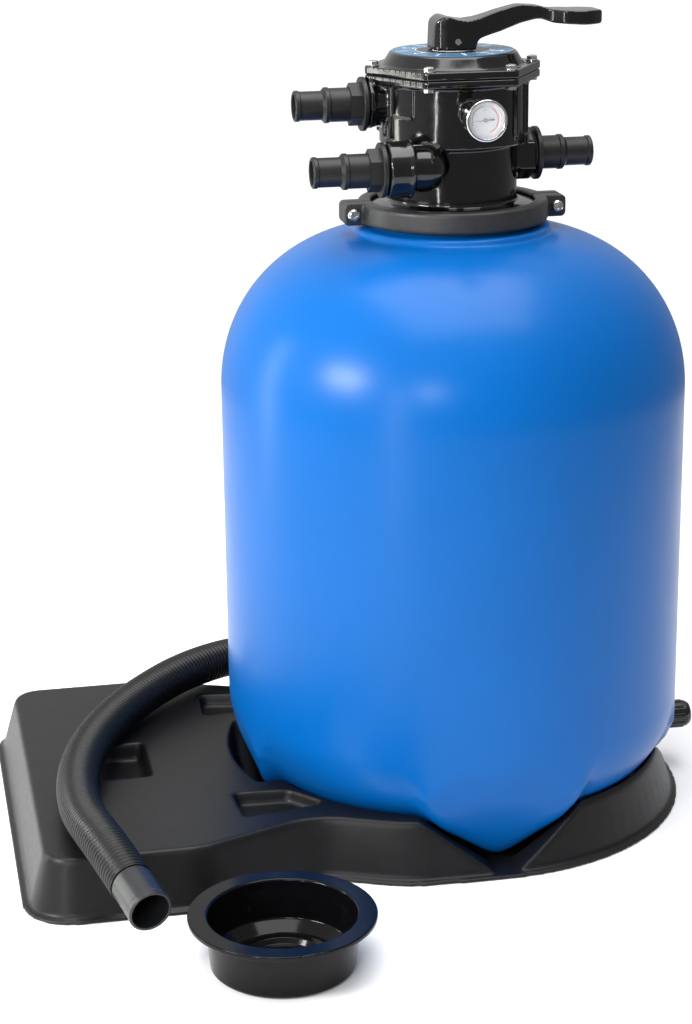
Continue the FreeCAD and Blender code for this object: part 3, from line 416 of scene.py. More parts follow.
def palette(scene):
    made = FINISHES
    if made:
        return made
    tank, base, valve = scene.kit_tank, scene.kit_base, scene.kit_valve
    # The base, valve and clamp finishes get a painted highlight along their sharp edges.
    made["tank"] = surface(
        "Blue blow-moulded plastic", tank.colour, tank.gloss, ior=1.28, mottle=0.03, mottle_size=0.12,
        grain=0.00004, grain_size=0.0025, ripple=0.0010, ripple_size=0.16)
    made["base"] = surface(
        "Black thermoformed sheet", base.colour, 0.4, specular=0.25, mottle=0.18, mottle_size=0.012,
        grain=0.00007, grain_size=0.0011, ripple=0.0005, ripple_size=0.05, edge_highlight=0.5)
    made["gloss"] = surface(
        "Glossy black valve plastic", valve.colour, 0.12, specular=0.5, mottle=0.1, mottle_size=0.02,
        uneven=0.25, grain=0.00001, grain_size=0.002, ripple=0.0003, ripple_size=0.025, edge_highlight=0.35)
    made["clamp"] = surface(
        "Satin grey-black clamp", (0.022, 0.022, 0.023), 0.42, specular=0.4, mottle=0.14,
        mottle_size=0.008, grain=0.00005, grain_size=0.0008, edge_highlight=0.5)
    made["tail"] = surface(
        "Matt black tail plastic", (0.006, 0.006, 0.0065), 0.46, specular=0.38, mottle=0.15,
        mottle_size=0.006, grain=0.00003, grain_size=0.0007)
    made["hose"] = surface(
        "Black hose", scene.kit_hose.colour, 0.36, specular=0.3, mottle=0.15, mottle_size=0.01,
        grain=0.00002, grain_size=0.001)
    made["cuff"] = surface(
        "Smooth black cuff", (0.012, 0.0125, 0.014), 0.32, specular=0.5, mottle=0.12, mottle_size=0.008,
        grain=0.00002, grain_size=0.0009)
    made["cup"] = surface(
        "Black cup plastic", (0.0025, 0.0025, 0.003), 0.12, specular=0.16, mottle=0.1, mottle_size=0.02,
        grain=0.00001, grain_size=0.0012, ripple=0.0002, ripple_size=0.02)
    made["steel"] = surface(
        "Stainless steel", (0.55, 0.55, 0.53), 0.2, metallic=1.0, mottle=0.1, mottle_size=0.003,
        uneven=0.3, grain=0.00002, grain_size=0.0005)
    made["chrome"] = surface(
        "Chrome", (0.7, 0.71, 0.72), 0.08, metallic=1.0, mottle=0.03, uneven=0.4, ripple=0.00005,
        ripple_size=0.006)
    made["brass"] = surface(
        "Brass", (0.72, 0.52, 0.22), 0.3, metallic=1.0, mottle=0.12, mottle_size=0.004, grain=0.00002,
        grain_size=0.0004)
    made["seal"] = surface(
        "Black rubber seal", (0.02, 0.02, 0.02), 0.7, specular=0.3, mottle=0.2, mottle_size=0.004,
        grain=0.00003, grain_size=0.0006)
    made["inner_white"] = surface(
        "White pipe plastic", (0.75, 0.75, 0.72), 0.4, mottle=0.05, mottle_size=0.02, grain=0.00002,
        grain_size=0.001)
    made["inner_black"] = surface(
        "Black pipe plastic", (0.025, 0.025, 0.026), 0.4, mottle=0.12, mottle_size=0.01, grain=0.00003,
        grain_size=0.001)
    made["dial"] = surface(
        "White dial", (0.55, 0.545, 0.56), 0.4, mottle=0.02, mottle_size=0.006, grain=0.000005)
    made["ink_black"] = surface("Black ink", (0.02, 0.02, 0.022), 0.45, mottle=0.1, mottle_size=0.002)
    made["ink_red"] = surface("Red ink", (0.5, 0.025, 0.04), 0.4, mottle=0.08, mottle_size=0.002)
    made["ink_pink"] = surface("Pale pink ink", (0.86, 0.6, 0.62), 0.4, mottle=0.05, mottle_size=0.003)
    made["ink_white"] = surface("White ink", (0.8, 0.84, 0.88), 0.4, mottle=0.05, mottle_size=0.003)
    made["needle"] = surface("Black needle", (0.012, 0.01, 0.012), 0.35, mottle=0.1, mottle_size=0.002)
    made["glass"] = surface(
        "Clear lens", (0.9, 0.93, 0.94), 0.04, specular=0.5, mottle=0.02, uneven=0.2, alpha=0.14)
    made["label"] = label_finish(valve.label_colour, (0.012, 0.012, 0.014), valve.label_hub)
    return made


FINISHES = {}

# CAD nodes whose shape is right as it is, and the finish that each one shows
KEPT_NODES = {
    "neck_seal": "seal", "cover_seal": "seal", "label_disc": "label", "spider_gasket": "seal",
    "rotor": "inner_black", "spindle": "inner_black", "spindle_seals": "seal", "rotor_spring": "steel",
    "thrust_washer": "inner_white", "handle_pin": "steel", "gauge_case": "chrome", "gauge_stem": "brass",
    "gauge_dial": "dial", "gauge_lens": "glass", "gauge_bezel": "chrome",
    "tail_seal_pump": "seal", "tail_seal_waste": "seal", "tail_seal_return": "seal",
    "hose_tail_pump": "tail", "hose_tail_waste": "tail", "hose_tail_return": "tail",
    "drain_gasket": "seal", "drain_fitting": "tail", "drain_locknut": "inner_black",
    "drain_cap_seal": "seal", "drain_cap": "gloss", "standpipe": "inner_white",
    "lateral_hub": "inner_black", "laterals": "inner_white", "diffuser": "inner_white",
    "cup": "cup", "hose_cuff_front": "cuff", "hose_cuff_rear": "cuff",
}


def paint_kept_nodes(scene, names):
    """Give these CAD nodes their finishes."""
    finishes = palette(scene)
    for name in names:
        data = NODES[name].data
        data.materials.clear()
        data.materials.append(finishes[KEPT_NODES[name]])


# ---------------------------------------------------------------- settings

def length_setting(name, description, default):
    return bpy.props.FloatProperty(name=name, description=description, default=default, unit="LENGTH")


def colour_setting(name, description, default):
    return bpy.props.FloatVectorProperty(name=name, description=description, subtype="COLOR",
                                         default=default)


class KIT_PG_stage(bpy.types.PropertyGroup):
    """The camera and the light."""
    lens: bpy.props.FloatProperty(name="Lens", description="Focal length in millimetres", default=83.35,
                                  min=10.0)
    bright_sky: bpy.props.FloatProperty(name="Bright sky", default=0.95, min=0.0,
                                        description="Light from above and behind the left")
    dim_sky: bpy.props.FloatProperty(name="Dim sky", description="Light from the front and the right",
                                     default=0.28, min=0.0)
    floor: colour_setting("Floor", "Colour of the floor", (0.92, 0.92, 0.92))


class KIT_PG_tank(bpy.types.PropertyGroup):
    """The filter tank."""
    radius: length_setting("Radius", "Outer radius of the straight wall", 0.25)
    wall_low: length_setting("Wall low", "Height where the straight wall starts", 0.13)
    wall_high: length_setting("Wall high", "Height where the shoulder starts", 0.47)
    gloss: bpy.props.FloatProperty(name="Roughness", description="Roughness of the plastic", default=0.3,
                                   min=0.05, max=1.0)
    colour: colour_setting("Colour", "Colour of the moulded plastic", (0.0, 0.095, 0.35))


class KIT_PG_base(bpy.types.PropertyGroup):
    """The base tray."""
    rounding: length_setting("Mesh size", "Size of the mesh that rounds its edges", 0.0022)
    colour: colour_setting("Colour", "Colour of the formed sheet", (0.0045, 0.0045, 0.005))


class KIT_PG_hose(bpy.types.PropertyGroup):
    """The corrugated hose."""
    diameter: length_setting("Diameter", "Outer diameter of the hose", 0.045)
    length: length_setting("Length", "Length between its cuffs", 0.968)
    pitch: length_setting("Pitch", "Distance from one ring to the next", 0.0052)
    depth: bpy.props.FloatProperty(name="Depth", description="Depth of the rings as a share of the radius",
                                   default=0.08, subtype="FACTOR")
    colour: colour_setting("Colour", "Colour of the hose", (0.004, 0.004, 0.0042))


class KIT_PG_valve(bpy.types.PropertyGroup):
    """The multi-way valve."""
    screw_circle: length_setting("Screw circle", "Radius of the ring of screws", 0.085)
    screw_count: bpy.props.IntProperty(name="Screws", description="Number of screws in the cover",
                                       default=6, min=3)
    label_hub: length_setting("Label hub", "Radius of the label's black middle", 0.0385)
    colour: colour_setting("Colour", "Colour of the valve", (0.003, 0.003, 0.0033))
    label_colour: colour_setting("Label colour", "Colour of the label", (0.045, 0.13, 0.235))


class KIT_PG_gauge(bpy.types.PropertyGroup):
    """The pressure gauge."""
    scale_radius: length_setting("Scale radius", "Radius of the printed arcs", 0.0134)
    rest_angle: bpy.props.FloatProperty(name="Rest angle", description="Angle of the needle's tail above +X",
                                        default=math.radians(5.0), subtype="ANGLE")


# ---------------------------------------------------------------- stage

class KIT_OT_stage(bpy.types.Operator):
    """Make the camera, the floor and the soft studio light"""
    bl_idname = "kit.stage"
    bl_label = "Stage"

    def execute(self, context):
        scene, settings = context.scene, context.scene.kit_stage
        scene.view_settings.view_transform = "Standard"
        data = bpy.data.cameras.new("kit_camera")
        data.lens = settings.lens
        data.clip_end = 50.0
        camera = add_object("kit_camera", data)
        right = Vector((0.98023182, -0.19756539, -0.01065388))
        up = Vector((0.06877499, 0.28975194, 0.95462758))
        forward = Vector((0.18551439, 0.93648905, -0.29761162))
        camera.matrix_world = Matrix.Translation((-0.59906526, -2.42430605, 1.10221287)) @ Matrix(
            (right, up, -forward)).transposed().to_4x4()
        scene.camera = camera
        self.make_floor(settings)
        self.make_sky(scene, settings)
        # place, aim, width, height, power, colour
        lamps = {
            "key_softbox": ((-1.75, -0.78, 1.12), (-0.155, -0.184, 0.53), 0.56, 0.36, 34.0,
                            (1.0, 0.97, 1.0)),
            "fill_softbox": ((-1.02, -2.25, 1.21), (-0.079, -0.230, 0.52), 0.44, 0.36, 12.0,
                             (0.9, 0.94, 1.0)),
            "left_strip": ((-1.95, 0.66, 0.62), (0.0, 0.0, 0.6), 0.22, 1.5, 12.0, (0.95, 1.0, 0.88)),
            "front_strip": ((-1.35, -1.65, 0.55), (0.0, 0.0, 0.72), 0.07, 1.2, 7.0, (1.0, 1.0, 0.95)),
            "top_softbox": ((0.0, -0.3, 3.3), (0.0, 0.0, 0.0), 2.6, 2.6, 115.0, (1.0, 1.0, 1.0)),
        }
        for name, (place, aim, width, height, power, colour) in lamps.items():
            lamp = bpy.data.lights.new(name, "AREA")
            lamp.shape = "RECTANGLE"
            lamp.size, lamp.size_y = width, height
            lamp.energy = power
            lamp.color = colour
            holder = add_object(name, lamp)
            holder.location = place
            holder.rotation_euler = (Vector(aim) - Vector(place)).to_track_quat("-Z", "Y").to_euler()
            holder.visible_camera = False
        return {"FINISHED"}

    def make_floor(self, settings):
        bm = bmesh.new()
        bmesh.ops.create_circle(bm, cap_ends=True, segments=128, radius=1.9)
        bmesh.ops.translate(bm, verts=bm.verts, vec=(0.0, 0.0, -0.0004))
        mesh = bpy.data.meshes.new("floor")
        bm.to_mesh(mesh)
        bm.free()
        floor = add_object("floor", mesh)
        floor.data.materials.append(surface("Pale floor", settings.floor, 0.65, specular=0.2, mottle=0.01,
                                            mottle_size=0.5))

    def make_sky(self, scene, settings):
        world = bpy.data.worlds.new("Studio")
        world.use_nodes = True
        nodes, link = world.node_tree.nodes, world.node_tree.links.new
        coords = nodes.new("ShaderNodeTexCoord")
        toward = nodes.new("ShaderNodeVectorMath")
        toward.operation = "DOT_PRODUCT"
        toward.inputs[1].default_value = (-0.55, 0.35, 0.75)
        link(coords.outputs["Generated"], toward.inputs[0])
        slope = nodes.new("ShaderNodeMapRange")
        slope.interpolation_type = "SMOOTHSTEP"
        for label, number in (("From Min", -0.3), ("From Max", 0.9), ("To Min", settings.dim_sky),
                              ("To Max", settings.bright_sky)):
            slope.inputs[label].default_value = number
        link(toward.outputs["Value"], slope.inputs["Value"])
        # the backdrop itself is plain white
        seen = nodes.new("ShaderNodeLightPath")
        strength = nodes.new("ShaderNodeMix")
        link(seen.outputs["Is Camera Ray"], strength.inputs[0])
        link(slope.outputs["Result"], strength.inputs[2])
        strength.inputs[3].default_value = 1.1
        background = nodes["Background"]
        background.inputs["Color"].default_value = (1.0, 1.0, 1.0, 1.0)
        link(strength.outputs[0], background.inputs["Strength"])
        scene.world = world


# ---------------------------------------------------------------- hose

class KIT_OT_hose(bpy.types.Operator):
    """Make the corrugated hose that lies over the platform and behind the tank"""
    bl_idname = "kit.hose"
    bl_label = "Hose"

    def execute(self, context):
        settings = context.scene.kit_hose
        curve = bpy.data.curves.new("hose_line", "CURVE")
        curve.dimensions = "3D"
        curve.resolution_u = 24
        spline = curve.splines.new("NURBS")
        spline.points.add(len(HOSE_ROUTE) - 1)
        for point, place in zip(spline.points, HOSE_ROUTE):
            point.co = (*place, 1.0)
        spline.order_u = 3
        spline.use_endpoint_u = True
        line = add_object("hose_line", curve)
        centre = evaluated_mesh(line)
        hose = grown("hose_run", corrugated_tree(), Line=line, Radius=settings.diameter / 2,
                     Pitch=settings.pitch, Depth=settings.depth, Sides=28,
                     Finish=palette(context.scene)["hose"])
        bpy.data.meshes.remove(centre)
        bpy.data.objects.remove(line)
        smooth(hose.data)
        finish_piece(hose, None, "root", ["hose"])
        paint_kept_nodes(context.scene, ["hose_cuff_front", "hose_cuff_rear"])
        return {"FINISHED"}


# ---------------------------------------------------------------- tank

def smooth_min(first, second, width):
    if width <= 0:
        return min(first, second)
    share = max(width - abs(first - second), 0.0) / width
    return min(first, second) - share * share * width / 4


def smooth_max(first, second, width):
    return -smooth_min(-first, -second, width)


def bowl_height(radius, settings):
    """Height of the rounded bottom between the feet."""
    middle = settings.radius - TANK_CORNER
    if radius <= middle:
        return settings.wall_low - TANK_CORNER + 0.005 * (1 - radius / middle)
    return settings.wall_low - math.sqrt(max(TANK_CORNER ** 2 - (radius - middle) ** 2, 0.0))


def foot_height(radius, across, settings):
    """Height of the underside of a foot, at a distance across from its middle."""
    flank = max(abs(across) - 0.055, 0.0)
    ridge = -0.0005 + math.hypot(across, 0.010) / 1.35 + 20.0 * flank ** 2
    outside = 0.025 + (radius - (settings.radius - 0.032)) * 3.28
    inside = 0.004 + (0.195 - radius) * 0.6
    return smooth_max(smooth_max(smooth_max(ridge, outside, 0.026), inside, 0.012), 0.004, 0.006)


def tank_outline(angle, settings):
    """Points of the tank's outer surface at an angle, from the middle of its bottom to its flange."""
    middle = settings.radius - TANK_CORNER
    radii = [middle * i / 30 for i in range(30)]
    radii += [middle + TANK_CORNER * math.sin(math.pi / 2 * i / 110) for i in range(111)]
    off = (math.degrees(angle) + 45) % 90 - 45
    raw = []
    for radius in radii:
        across = radius * math.sin(math.radians(off))
        along = radius * math.cos(math.radians(off))
        fade = min(1.0, (settings.radius - radius) / 0.008)
        spread = 0.012 + 0.026 * min(1.0, max(0.0, (radius - 0.19) / 0.05))
        height = smooth_min(bowl_height(radius, settings), foot_height(along, across, settings),
                            spread * fade)
        raw.append((radius, height))
    raw[-1] = (settings.radius, settings.wall_low)
    return even_steps(raw, 70) + upper_outline(settings)


def upper_outline(settings):
    """The straight wall, the shoulder, the collar and the flange, which are the same all round."""
    rise, reach, power = 0.17, 0.17, 2.08
    inner = settings.radius - reach
    wall = [(settings.radius, settings.wall_low + (settings.wall_high - settings.wall_low) * i / 26)
            for i in range(1, 27)]
    shoulder = []
    for i in range(1, 44):
        turn = math.pi / 2 * i / 48
        shoulder.append((inner + reach * math.cos(turn) ** (2 / power),
                         settings.wall_high + rise * math.sin(turn) ** (2 / power)))
    shoulder = [point for point in shoulder if point[0] > 0.112]
    collar = [(0.1085, 0.6375), (0.1060, 0.6386), (0.1047, 0.6402), (0.1040, 0.6425), (0.1028, 0.6442),
              (0.1005, 0.6450), (0.0900, 0.6456), (0.0868, 0.6470), (0.0860, 0.6495), (0.0860, 0.6538),
              (0.0905, 0.6540), (0.0916, 0.6544), (0.0920, 0.6555), (0.0920, 0.6590), (0.0915, 0.6601),
              (0.0905, 0.6605)]
    return wall + shoulder + collar


def even_steps(points, count):
    """The same line in equal steps."""
    lengths = [0.0]
    for (r0, z0), (r1, z1) in zip(points, points[1:]):
        lengths.append(lengths[-1] + math.hypot(r1 - r0, z1 - z0))
    result, k = [], 0
    for i in range(count):
        target = lengths[-1] * i / (count - 1)
        while k < len(points) - 2 and lengths[k + 1] < target:
            k += 1
        share = (target - lengths[k]) / max(lengths[k + 1] - lengths[k], 1e-12)
        result.append(tuple(a + (b - a) * share for a, b in zip(points[k], points[k + 1])))
    return result


def inner_outline(outline):
    """The tank's inside at the same angle, from its bore down to the middle of its bottom."""
    walled = [(radius * 0.98, 0.005 + height * 0.985) for radius, height in outline
              if height < 0.636 and (radius > 0.1 or height < 0.3)]
    return [(0.070, 0.6605), (0.070, 0.6420), (0.074, 0.6360)] + walled[::-2]


class KIT_OT_tank(bpy.types.Operator):
    """Make the blow-moulded tank with its four feet, its neck and its drain boss"""
    bl_idname = "kit.tank"
    bl_label = "Tank"

    def execute(self, context):
        settings = context.scene.kit_tank
        steps = 192
        bm = bmesh.new()
        columns = []
        for i in range(steps):
            angle = 2 * math.pi * i / steps
            outline = tank_outline(angle, settings)
            loop = outline[1:] + inner_outline(outline)[:-1]
            columns.append([bm.verts.new((r * math.cos(angle), r * math.sin(angle), z)) for r, z in loop])
        outer_pole = bm.verts.new((0.0, 0.0, outline[0][1]))
        inner_pole = bm.verts.new((0.0, 0.0, 0.005 + outline[0][1] * 0.985))
        for first, second in zip(columns, columns[1:] + columns[:1]):
            bm.faces.new((outer_pole, second[0], first[0]))
            bm.faces.new((inner_pole, first[-1], second[-1]))
            for (a, b), (c, d) in zip(zip(first, first[1:]), zip(second, second[1:])):
                bm.faces.new((a, c, d, b))
        boss = Matrix.Translation((0.0, 0.0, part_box("drain_gasket")[0].z + 0.020)) @ Matrix.Rotation(
            math.pi / 2, 4, "Y")
        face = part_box("drain_gasket")[0].x
        lathe(bm, [(0.013, face - 0.024), (0.024, face - 0.024), (0.024, face - 0.0015),
                   (0.0235, face - 0.0004), (0.0225, face), (0.013, face)], 64, boss)
        tank = add_object("tank_shell", mesh_from(bm, "tank_shell", 50))
        finish_piece(tank, palette(context.scene)["tank"], "root", ["tank"])
        return {"FINISHED"}


# ---------------------------------------------------------------- base

class KIT_OT_base(bpy.types.Operator):
    """Make the thermoformed base with its platform, its pockets and the tank's well"""
    bl_idname = "kit.base"
    bl_label = "Base"

    def execute(self, context):
        settings = context.scene.kit_base
        tray = softened("base_tray", "base", settings.rounding, 9, 0.36)
        finish_piece(tray, palette(context.scene)["base"], "root", ["base"])
        return {"FINISHED"}


# ---------------------------------------------------------------- valve

class KIT_OT_valve(bpy.types.Operator):
    """Make the valve's body, its cover, the clamp round its neck and the hose tails"""
    bl_idname = "kit.valve"
    bl_label = "Valve"

    def execute(self, context):
        finishes = palette(context.scene)
        pieces = (("valve_housing", "valve_body", 0.0014, 7, 0.55, "gloss", "valve_body"),
                  ("valve_lid", "valve_cover", 0.0011, 7, 0.8, "gloss", "valve_cover"),
                  ("clamp_band_front", "clamp_front", 0.0011, 6, 1.0, "clamp", "clamp"),
                  ("clamp_band_rear", "clamp_rear", 0.0011, 6, 1.0, "clamp", "clamp"))
        for name, node, voxel, passes, share, finish, slot in pieces:
            piece = softened(name, node, voxel, passes, share)
            finish_piece(piece, finishes[finish], "root", [node])
        paint_kept_nodes(context.scene, [name for name in KEPT_NODES if name.startswith((
            "hose_tail", "tail_seal", "neck", "cover_seal"))])
        return {"FINISHED"}


# ---------------------------------------------------------------- label

class KIT_OT_label(bpy.types.Operator):
    """Print the label disc's six sectors and their plain marks"""
    bl_idname = "kit.label"
    bl_label = "Label"

    def execute(self, context):
        scene = context.scene
        finishes = palette(scene)
        paint_kept_nodes(scene, ["label_disc"])
        hub = scene.kit_valve.label_hub
        rise = 0.00012
        inner, outer = hub + 0.002, LABEL_RADIUS - 0.003
        half = (outer - inner) / 2
        bar = plate("divider", [(-half, -0.0004), (half, -0.0004), (half, 0.0004), (-half, 0.0004)],
                    0.0, rise)
        bars = grown("label_lines", ring_tree(), Part=bar, Count=6, Radius=(inner + outer) / 2,
                     Height=LABEL_TOP, Finish=finishes["ink_white"])
        bm = bmesh.new()
        prism(bm, [(-0.005, -0.0009), (0.001, -0.0009), (0.001, -0.0026), (0.0055, 0.0), (0.001, 0.0026),
                   (0.001, 0.0009), (-0.005, 0.0009)], 0.0, rise)
        prism(bm, arc_outline(0.0014, 0.0022, 90, 449, 24), 0.0, rise,
              Matrix.Translation((-0.008, 0.0, 0.0)))
        arrow = add_object("arrow", mesh_from(bm, "arrow"))
        arrows = grown("label_arrows", ring_tree(), Part=arrow, Count=6, Radius=(inner + outer) / 2,
                       Height=LABEL_TOP, Finish=finishes["ink_white"])
        arrows.data.transform(Matrix.Rotation(math.radians(30), 4, "Z"))
        for part in (bar, arrow):
            bpy.data.objects.remove(part)
        for piece in (bars, arrows):
            finish_piece(piece, None, "root")
        return {"FINISHED"}


# ---------------------------------------------------------------- fasteners

def screw_part(name, shank_low, face, nut_top, hex_radius=0.0057):
    """A domed hexagonal screw with its washer and nut, standing at the origin."""
    bm = bmesh.new()
    washer = [(0.0, face), (0.0060, face), (0.0065, face + 0.0003), (0.0065, face + 0.0010),
              (0.0061, face + WASHER_HIGH), (0.0, face + WASHER_HIGH)]
    lathe(bm, washer, 24)
    top = face + WASHER_HIGH
    levels = [(1.0, top), (1.0, top + 0.0026), (0.93, top + 0.0034), (0.70, top + 0.0041),
              (0.35, top + 0.0045)]
    rings = [[bm.verts.new((x, y, height)) for x, y in hexagon(hex_radius * share)]
             for share, height in levels]
    for low, high in zip(rings, rings[1:]):
        for i in range(6):
            bm.faces.new((low[i], low[(i + 1) % 6], high[(i + 1) % 6], high[i]))
    bm.faces.new(rings[0][::-1])
    bm.faces.new(rings[-1])
    lathe(bm, [(0.0, shank_low), (0.0026, shank_low), (0.0030, shank_low + 0.0005), (0.0030, face),
               (0.0, face)], 16)
    prism(bm, hexagon(0.0058), shank_low + 0.0004, nut_top - 0.0001)
    return add_object(name, mesh_from(bm, name, 30))


class KIT_OT_fasteners(bpy.types.Operator):
    """Make the cover's ring of screws and the two clamp screws"""
    bl_idname = "kit.fasteners"
    bl_label = "Fasteners"

    def execute(self, context):
        settings = context.scene.kit_valve
        steel = palette(context.scene)["steel"]
        low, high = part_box("cover_bolts")
        part = screw_part("screw", low.z, high.z - HEAD_HIGH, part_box("cover_nuts")[1].z)
        screws = grown("cover_screws", ring_tree(), Part=part, Count=settings.screw_count,
                       Radius=settings.screw_circle, Height=0.0, Finish=steel)
        smooth(screws.data, 30)
        finish_piece(screws, None, "root", ["cover_bolts", "cover_nuts"])
        bpy.data.objects.remove(part)
        self.clamp_screws(steel)
        return {"FINISHED"}

    def clamp_screws(self, steel):
        low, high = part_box("clamp_bolts")
        nuts_low, nuts_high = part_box("clamp_nuts")
        height = (low.z + high.z) / 2
        reach = high.x - 0.007
        bm = bmesh.new()
        for side in (-1, 1):
            place = Matrix.Translation((side * reach, 0.0, height)) @ Matrix.Rotation(math.pi / 2, 4, "X")
            front, back = -low.y, -high.y
            head = front - CLAMP_HEAD_HIGH
            lathe(bm, [(0.0, front - 0.0012), (0.0022, front - 0.0010), (0.0026, front - 0.0002),
                       (0.0045, front - 0.0003), (0.0060, front - 0.0013), (0.0069, front - 0.0030),
                       (0.0070, head), (0.0, head)], 32, place)
            lathe(bm, [(0.0, back), (0.0036, back), (0.0040, back + 0.0005), (0.0040, head),
                       (0.0, head)], 24, place)
            prism(bm, hexagon(0.0072), -nuts_high.y, -nuts_low.y, place)
        screws = add_object("clamp_screws", mesh_from(bm, "clamp_screws", 30))
        finish_piece(screws, steel, "root", ["clamp_bolts", "clamp_nuts"])


# ---------------------------------------------------------------- handle

class KIT_OT_handle(bpy.types.Operator):
    """Make the glossy lever with its domed hub"""
    bl_idname = "kit.handle"
    bl_label = "Handle"

    def execute(self, context):
        lever = softened("selector_lever", "handle", 0.0008, 12)
        finish_piece(lever, palette(context.scene)["gloss"], "lever", ["handle"])
        paint_kept_nodes(context.scene, ["handle_pin", "thrust_washer", "spindle", "spindle_seals", "rotor",
                                         "rotor_spring", "spider_gasket"])
        return {"FINISHED"}


# ---------------------------------------------------------------- gauge

class KIT_OT_gauge(bpy.types.Operator):
    """Make the pressure gauge's printed scale and its needle"""
    bl_idname = "kit.gauge"
    bl_label = "Gauge"

    def execute(self, context):
        scene = context.scene
        settings = scene.kit_gauge
        finishes = palette(scene)
        paint_kept_nodes(scene, ["gauge_case", "gauge_stem", "gauge_dial", "gauge_lens", "gauge_bezel"])
        # the dial is drawn in X and Y, and then stood up so that Z faces the front
        stand = Matrix.Translation(DIAL_CENTRE) @ Matrix.Rotation(math.pi / 2, 4, "X")
        radius, rise = settings.scale_radius, 0.00008
        bm = bmesh.new()
        prism(bm, arc_outline(radius - 0.0004, radius + 0.0003, 92, 204), 0.0, rise)
        for place, size, text in self.numbers(radius):
            self.letter(bm, place, size, text, rise)
        scale = add_object("gauge_scale", mesh_from(bm, "gauge_scale"))
        tick = plate("tick", [(-0.0007, -0.00011), (0.0007, -0.00011), (0.0007, 0.00011),
                              (-0.0007, 0.00011)], 0.0, rise)
        ticks = grown("gauge_ticks", ring_tree(), Part=tick, Count=40, Radius=radius + 0.0013, Height=0.0,
                      Finish=finishes["ink_black"])
        bpy.data.objects.remove(tick)
        self.drop_lower_ticks(ticks.data)
        red = plate("gauge_red_arc", arc_outline(radius - 0.0006, radius + 0.0004, -66, 58), 0.0, rise)
        pink = plate("gauge_pink_band", arc_outline(radius + 0.0022, radius + 0.0042, -66, 58),
                     0.0, rise * 0.6)
        for piece, ink in ((scale, "ink_black"), (ticks, None), (red, "ink_red"), (pink, "ink_pink")):
            piece.data.transform(stand)
            finish_piece(piece, finishes[ink] if ink else None, "root")
        self.make_needle(finishes, stand, settings)
        return {"FINISHED"}

    def numbers(self, radius):
        """Where each number of the dial stands, its size and its text."""
        result = []
        for i, text in enumerate("01234"):
            turn = math.radians(214 - 62 * i)
            reach = radius - 0.0032
            result.append(((reach * math.cos(turn), reach * math.sin(turn)), DIGIT_SIZE, text))
        return result

    def letter(self, bm, place, size, text, rise):
        """Add a number to the mesh as a thin plate."""
        curve = bpy.data.curves.new("number", "FONT")
        curve.body = text
        curve.size = size
        curve.align_x = "CENTER"
        curve.align_y = "CENTER"
        curve.extrude = rise / 2
        holder = add_object("number", curve)
        mesh = evaluated_mesh(holder)
        mesh.transform(Matrix.Translation((*place, rise / 2)))
        bm.from_mesh(mesh)
        bpy.data.meshes.remove(mesh)
        bpy.data.objects.remove(holder)

    def drop_lower_ticks(self, mesh):
        """Leave the dial's lower quarter without ticks."""
        bm = bmesh.new()
        bm.from_mesh(mesh)
        gone = [v for v in bm.verts if v.co.y < 0 and abs(v.co.x) < -v.co.y * 0.95]
        bmesh.ops.delete(bm, geom=gone, context="VERTS")
        bm.to_mesh(mesh)
        bm.free()

    def make_needle(self, finishes, stand, settings):
        low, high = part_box("gauge_needle")
        blade = DIAL_CENTRE.y - low.y
        bm = bmesh.new()
        outline = [(-0.0136, -0.00012), (-0.002, -0.00045), (0.002, -0.0005), (0.0045, -0.0009),
                   (0.0090, -0.00095), (0.0093, 0.0), (0.0090, 0.00095), (0.0045, 0.0009), (0.002, 0.0005),
                   (-0.002, 0.00045), (-0.0136, 0.00012)]
        turn = Matrix.Rotation(settings.rest_angle, 4, "Z")
        prism(bm, outline, 0.0020, 0.0026, turn)
        lathe(bm, [(0.0, -0.0008), (0.0011, -0.0008), (0.0011, 0.0012), (0.0021, 0.0013),
                   (0.0021, blade - 0.0005), (0.0017, blade - 0.0001), (0.0, blade)], 32)
        needle = add_object("gauge_pointer", mesh_from(bm, "gauge_pointer", 30))
        needle.data.transform(stand)
        finish_piece(needle, finishes["needle"], "pointer", ["gauge_needle"])


# ---------------------------------------------------------------- drain, cup and the inside

class KIT_OT_drain(bpy.types.Operator):
    """Finish the drain, and give its cap a ring of grip ribs"""
    bl_idname = "kit.drain"
    bl_label = "Drain"

    def execute(self, context):
        finishes = palette(context.scene)
        paint_kept_nodes(context.scene, [name for name in KEPT_NODES if name.startswith("drain")])
        radius = (CAP_HIGH.z - CAP_LOW.z) / 2
        length = CAP_HIGH.x - CAP_LOW.x
        half = 0.0007
        rib = plate("grip_rib", [(-0.0012, -half), (-0.0003, -half), (-0.0001, 0.0), (-0.0003, half),
                                 (-0.0012, half)], 0.0015, length - 0.0085, 30)
        ribs = grown("drain_grip", ring_tree(), Part=rib, Count=36, Radius=radius, Height=0.0,
                     Finish=finishes["gloss"])
        bpy.data.objects.remove(rib)
        centre = (CAP_LOW + CAP_HIGH) / 2
        ribs.data.transform(Matrix.Translation((CAP_LOW.x, centre.y, centre.z)) @ Matrix.Rotation(
            math.pi / 2, 4, "Y"))
        finish_piece(ribs, None, "cap")
        return {"FINISHED"}


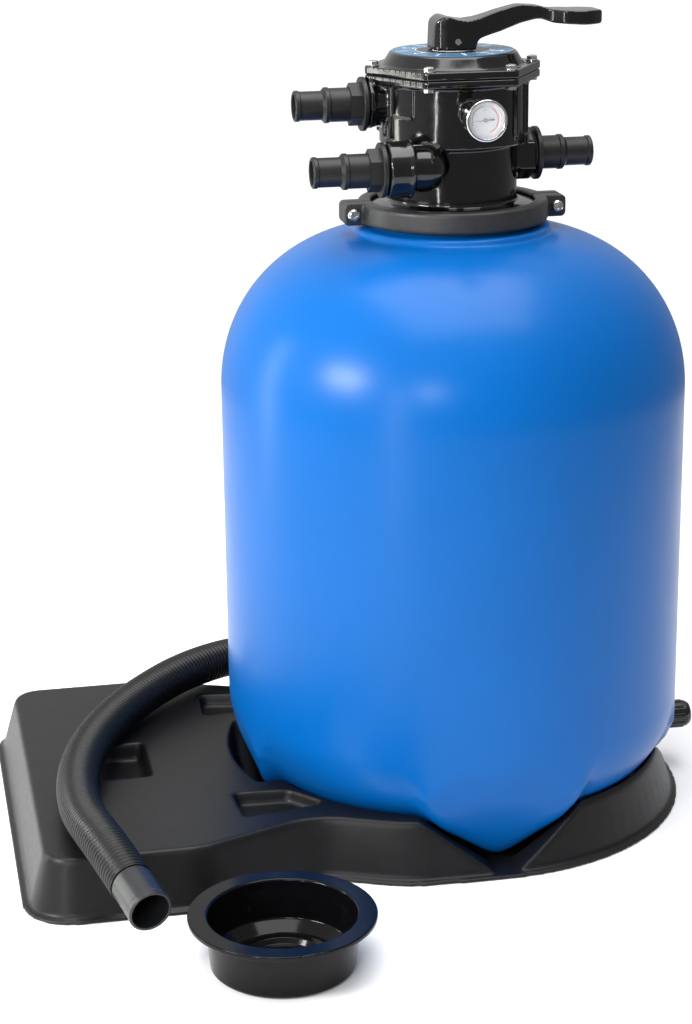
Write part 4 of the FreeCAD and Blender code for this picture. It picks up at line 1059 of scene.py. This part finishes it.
class KIT_OT_inside(bpy.types.Operator):
    """Finish the pieces inside the tank"""
    bl_idname = "kit.inside"
    bl_label = "Inside"

    def execute(self, context):
        paint_kept_nodes(context.scene, ["standpipe", "lateral_hub", "laterals", "diffuser"])
        return {"FINISHED"}


class KIT_OT_cup(bpy.types.Operator):
    """Finish the loose flanged cup"""
    bl_idname = "kit.cup"
    bl_label = "Cup"

    def execute(self, context):
        paint_kept_nodes(context.scene, ["cup"])
        return {"FINISHED"}


# ---------------------------------------------------------------- panel and registration

OPERATORS = (KIT_OT_stage, KIT_OT_hose, KIT_OT_tank, KIT_OT_base, KIT_OT_valve, KIT_OT_label,
             KIT_OT_fasteners, KIT_OT_handle, KIT_OT_gauge, KIT_OT_drain, KIT_OT_inside, KIT_OT_cup)
SETTINGS = {"kit_stage": KIT_PG_stage, "kit_tank": KIT_PG_tank, "kit_base": KIT_PG_base,
            "kit_hose": KIT_PG_hose, "kit_valve": KIT_PG_valve, "kit_gauge": KIT_PG_gauge}


class KIT_PT_panel(bpy.types.Panel):
    bl_idname = "KIT_PT_panel"
    bl_label = "Filter Kit"
    bl_space_type = "VIEW_3D"
    bl_region_type = "UI"
    bl_category = "Filter Kit"

    def draw(self, context):
        for operator in OPERATORS:
            self.layout.operator(operator.bl_idname)
        for name, group in SETTINGS.items():
            box = self.layout.box()
            box.label(text=group.__doc__)
            for label in group.__annotations__:
                box.prop(getattr(context.scene, name), label)


def register():
    for group in SETTINGS.values():
        bpy.utils.register_class(group)
    for name, group in SETTINGS.items():
        setattr(bpy.types.Scene, name, bpy.props.PointerProperty(type=group))
    for operator in OPERATORS:
        bpy.utils.register_class(operator)
    bpy.utils.register_class(KIT_PT_panel)


def unregister():
    bpy.utils.unregister_class(KIT_PT_panel)
    for operator in reversed(OPERATORS):
        bpy.utils.unregister_class(operator)
    for name, group in SETTINGS.items():
        delattr(bpy.types.Scene, name)
        bpy.utils.unregister_class(group)


def main():
    """Register the kit and build every piece."""
    register()
    for operator in OPERATORS:
        group, name = operator.bl_idname.split(".")
        if getattr(getattr(bpy.ops, group), name)() != {"FINISHED"}:
            raise RuntimeError(operator.bl_label + " wasn't finished")


if __name__ == "__main__":
    main()
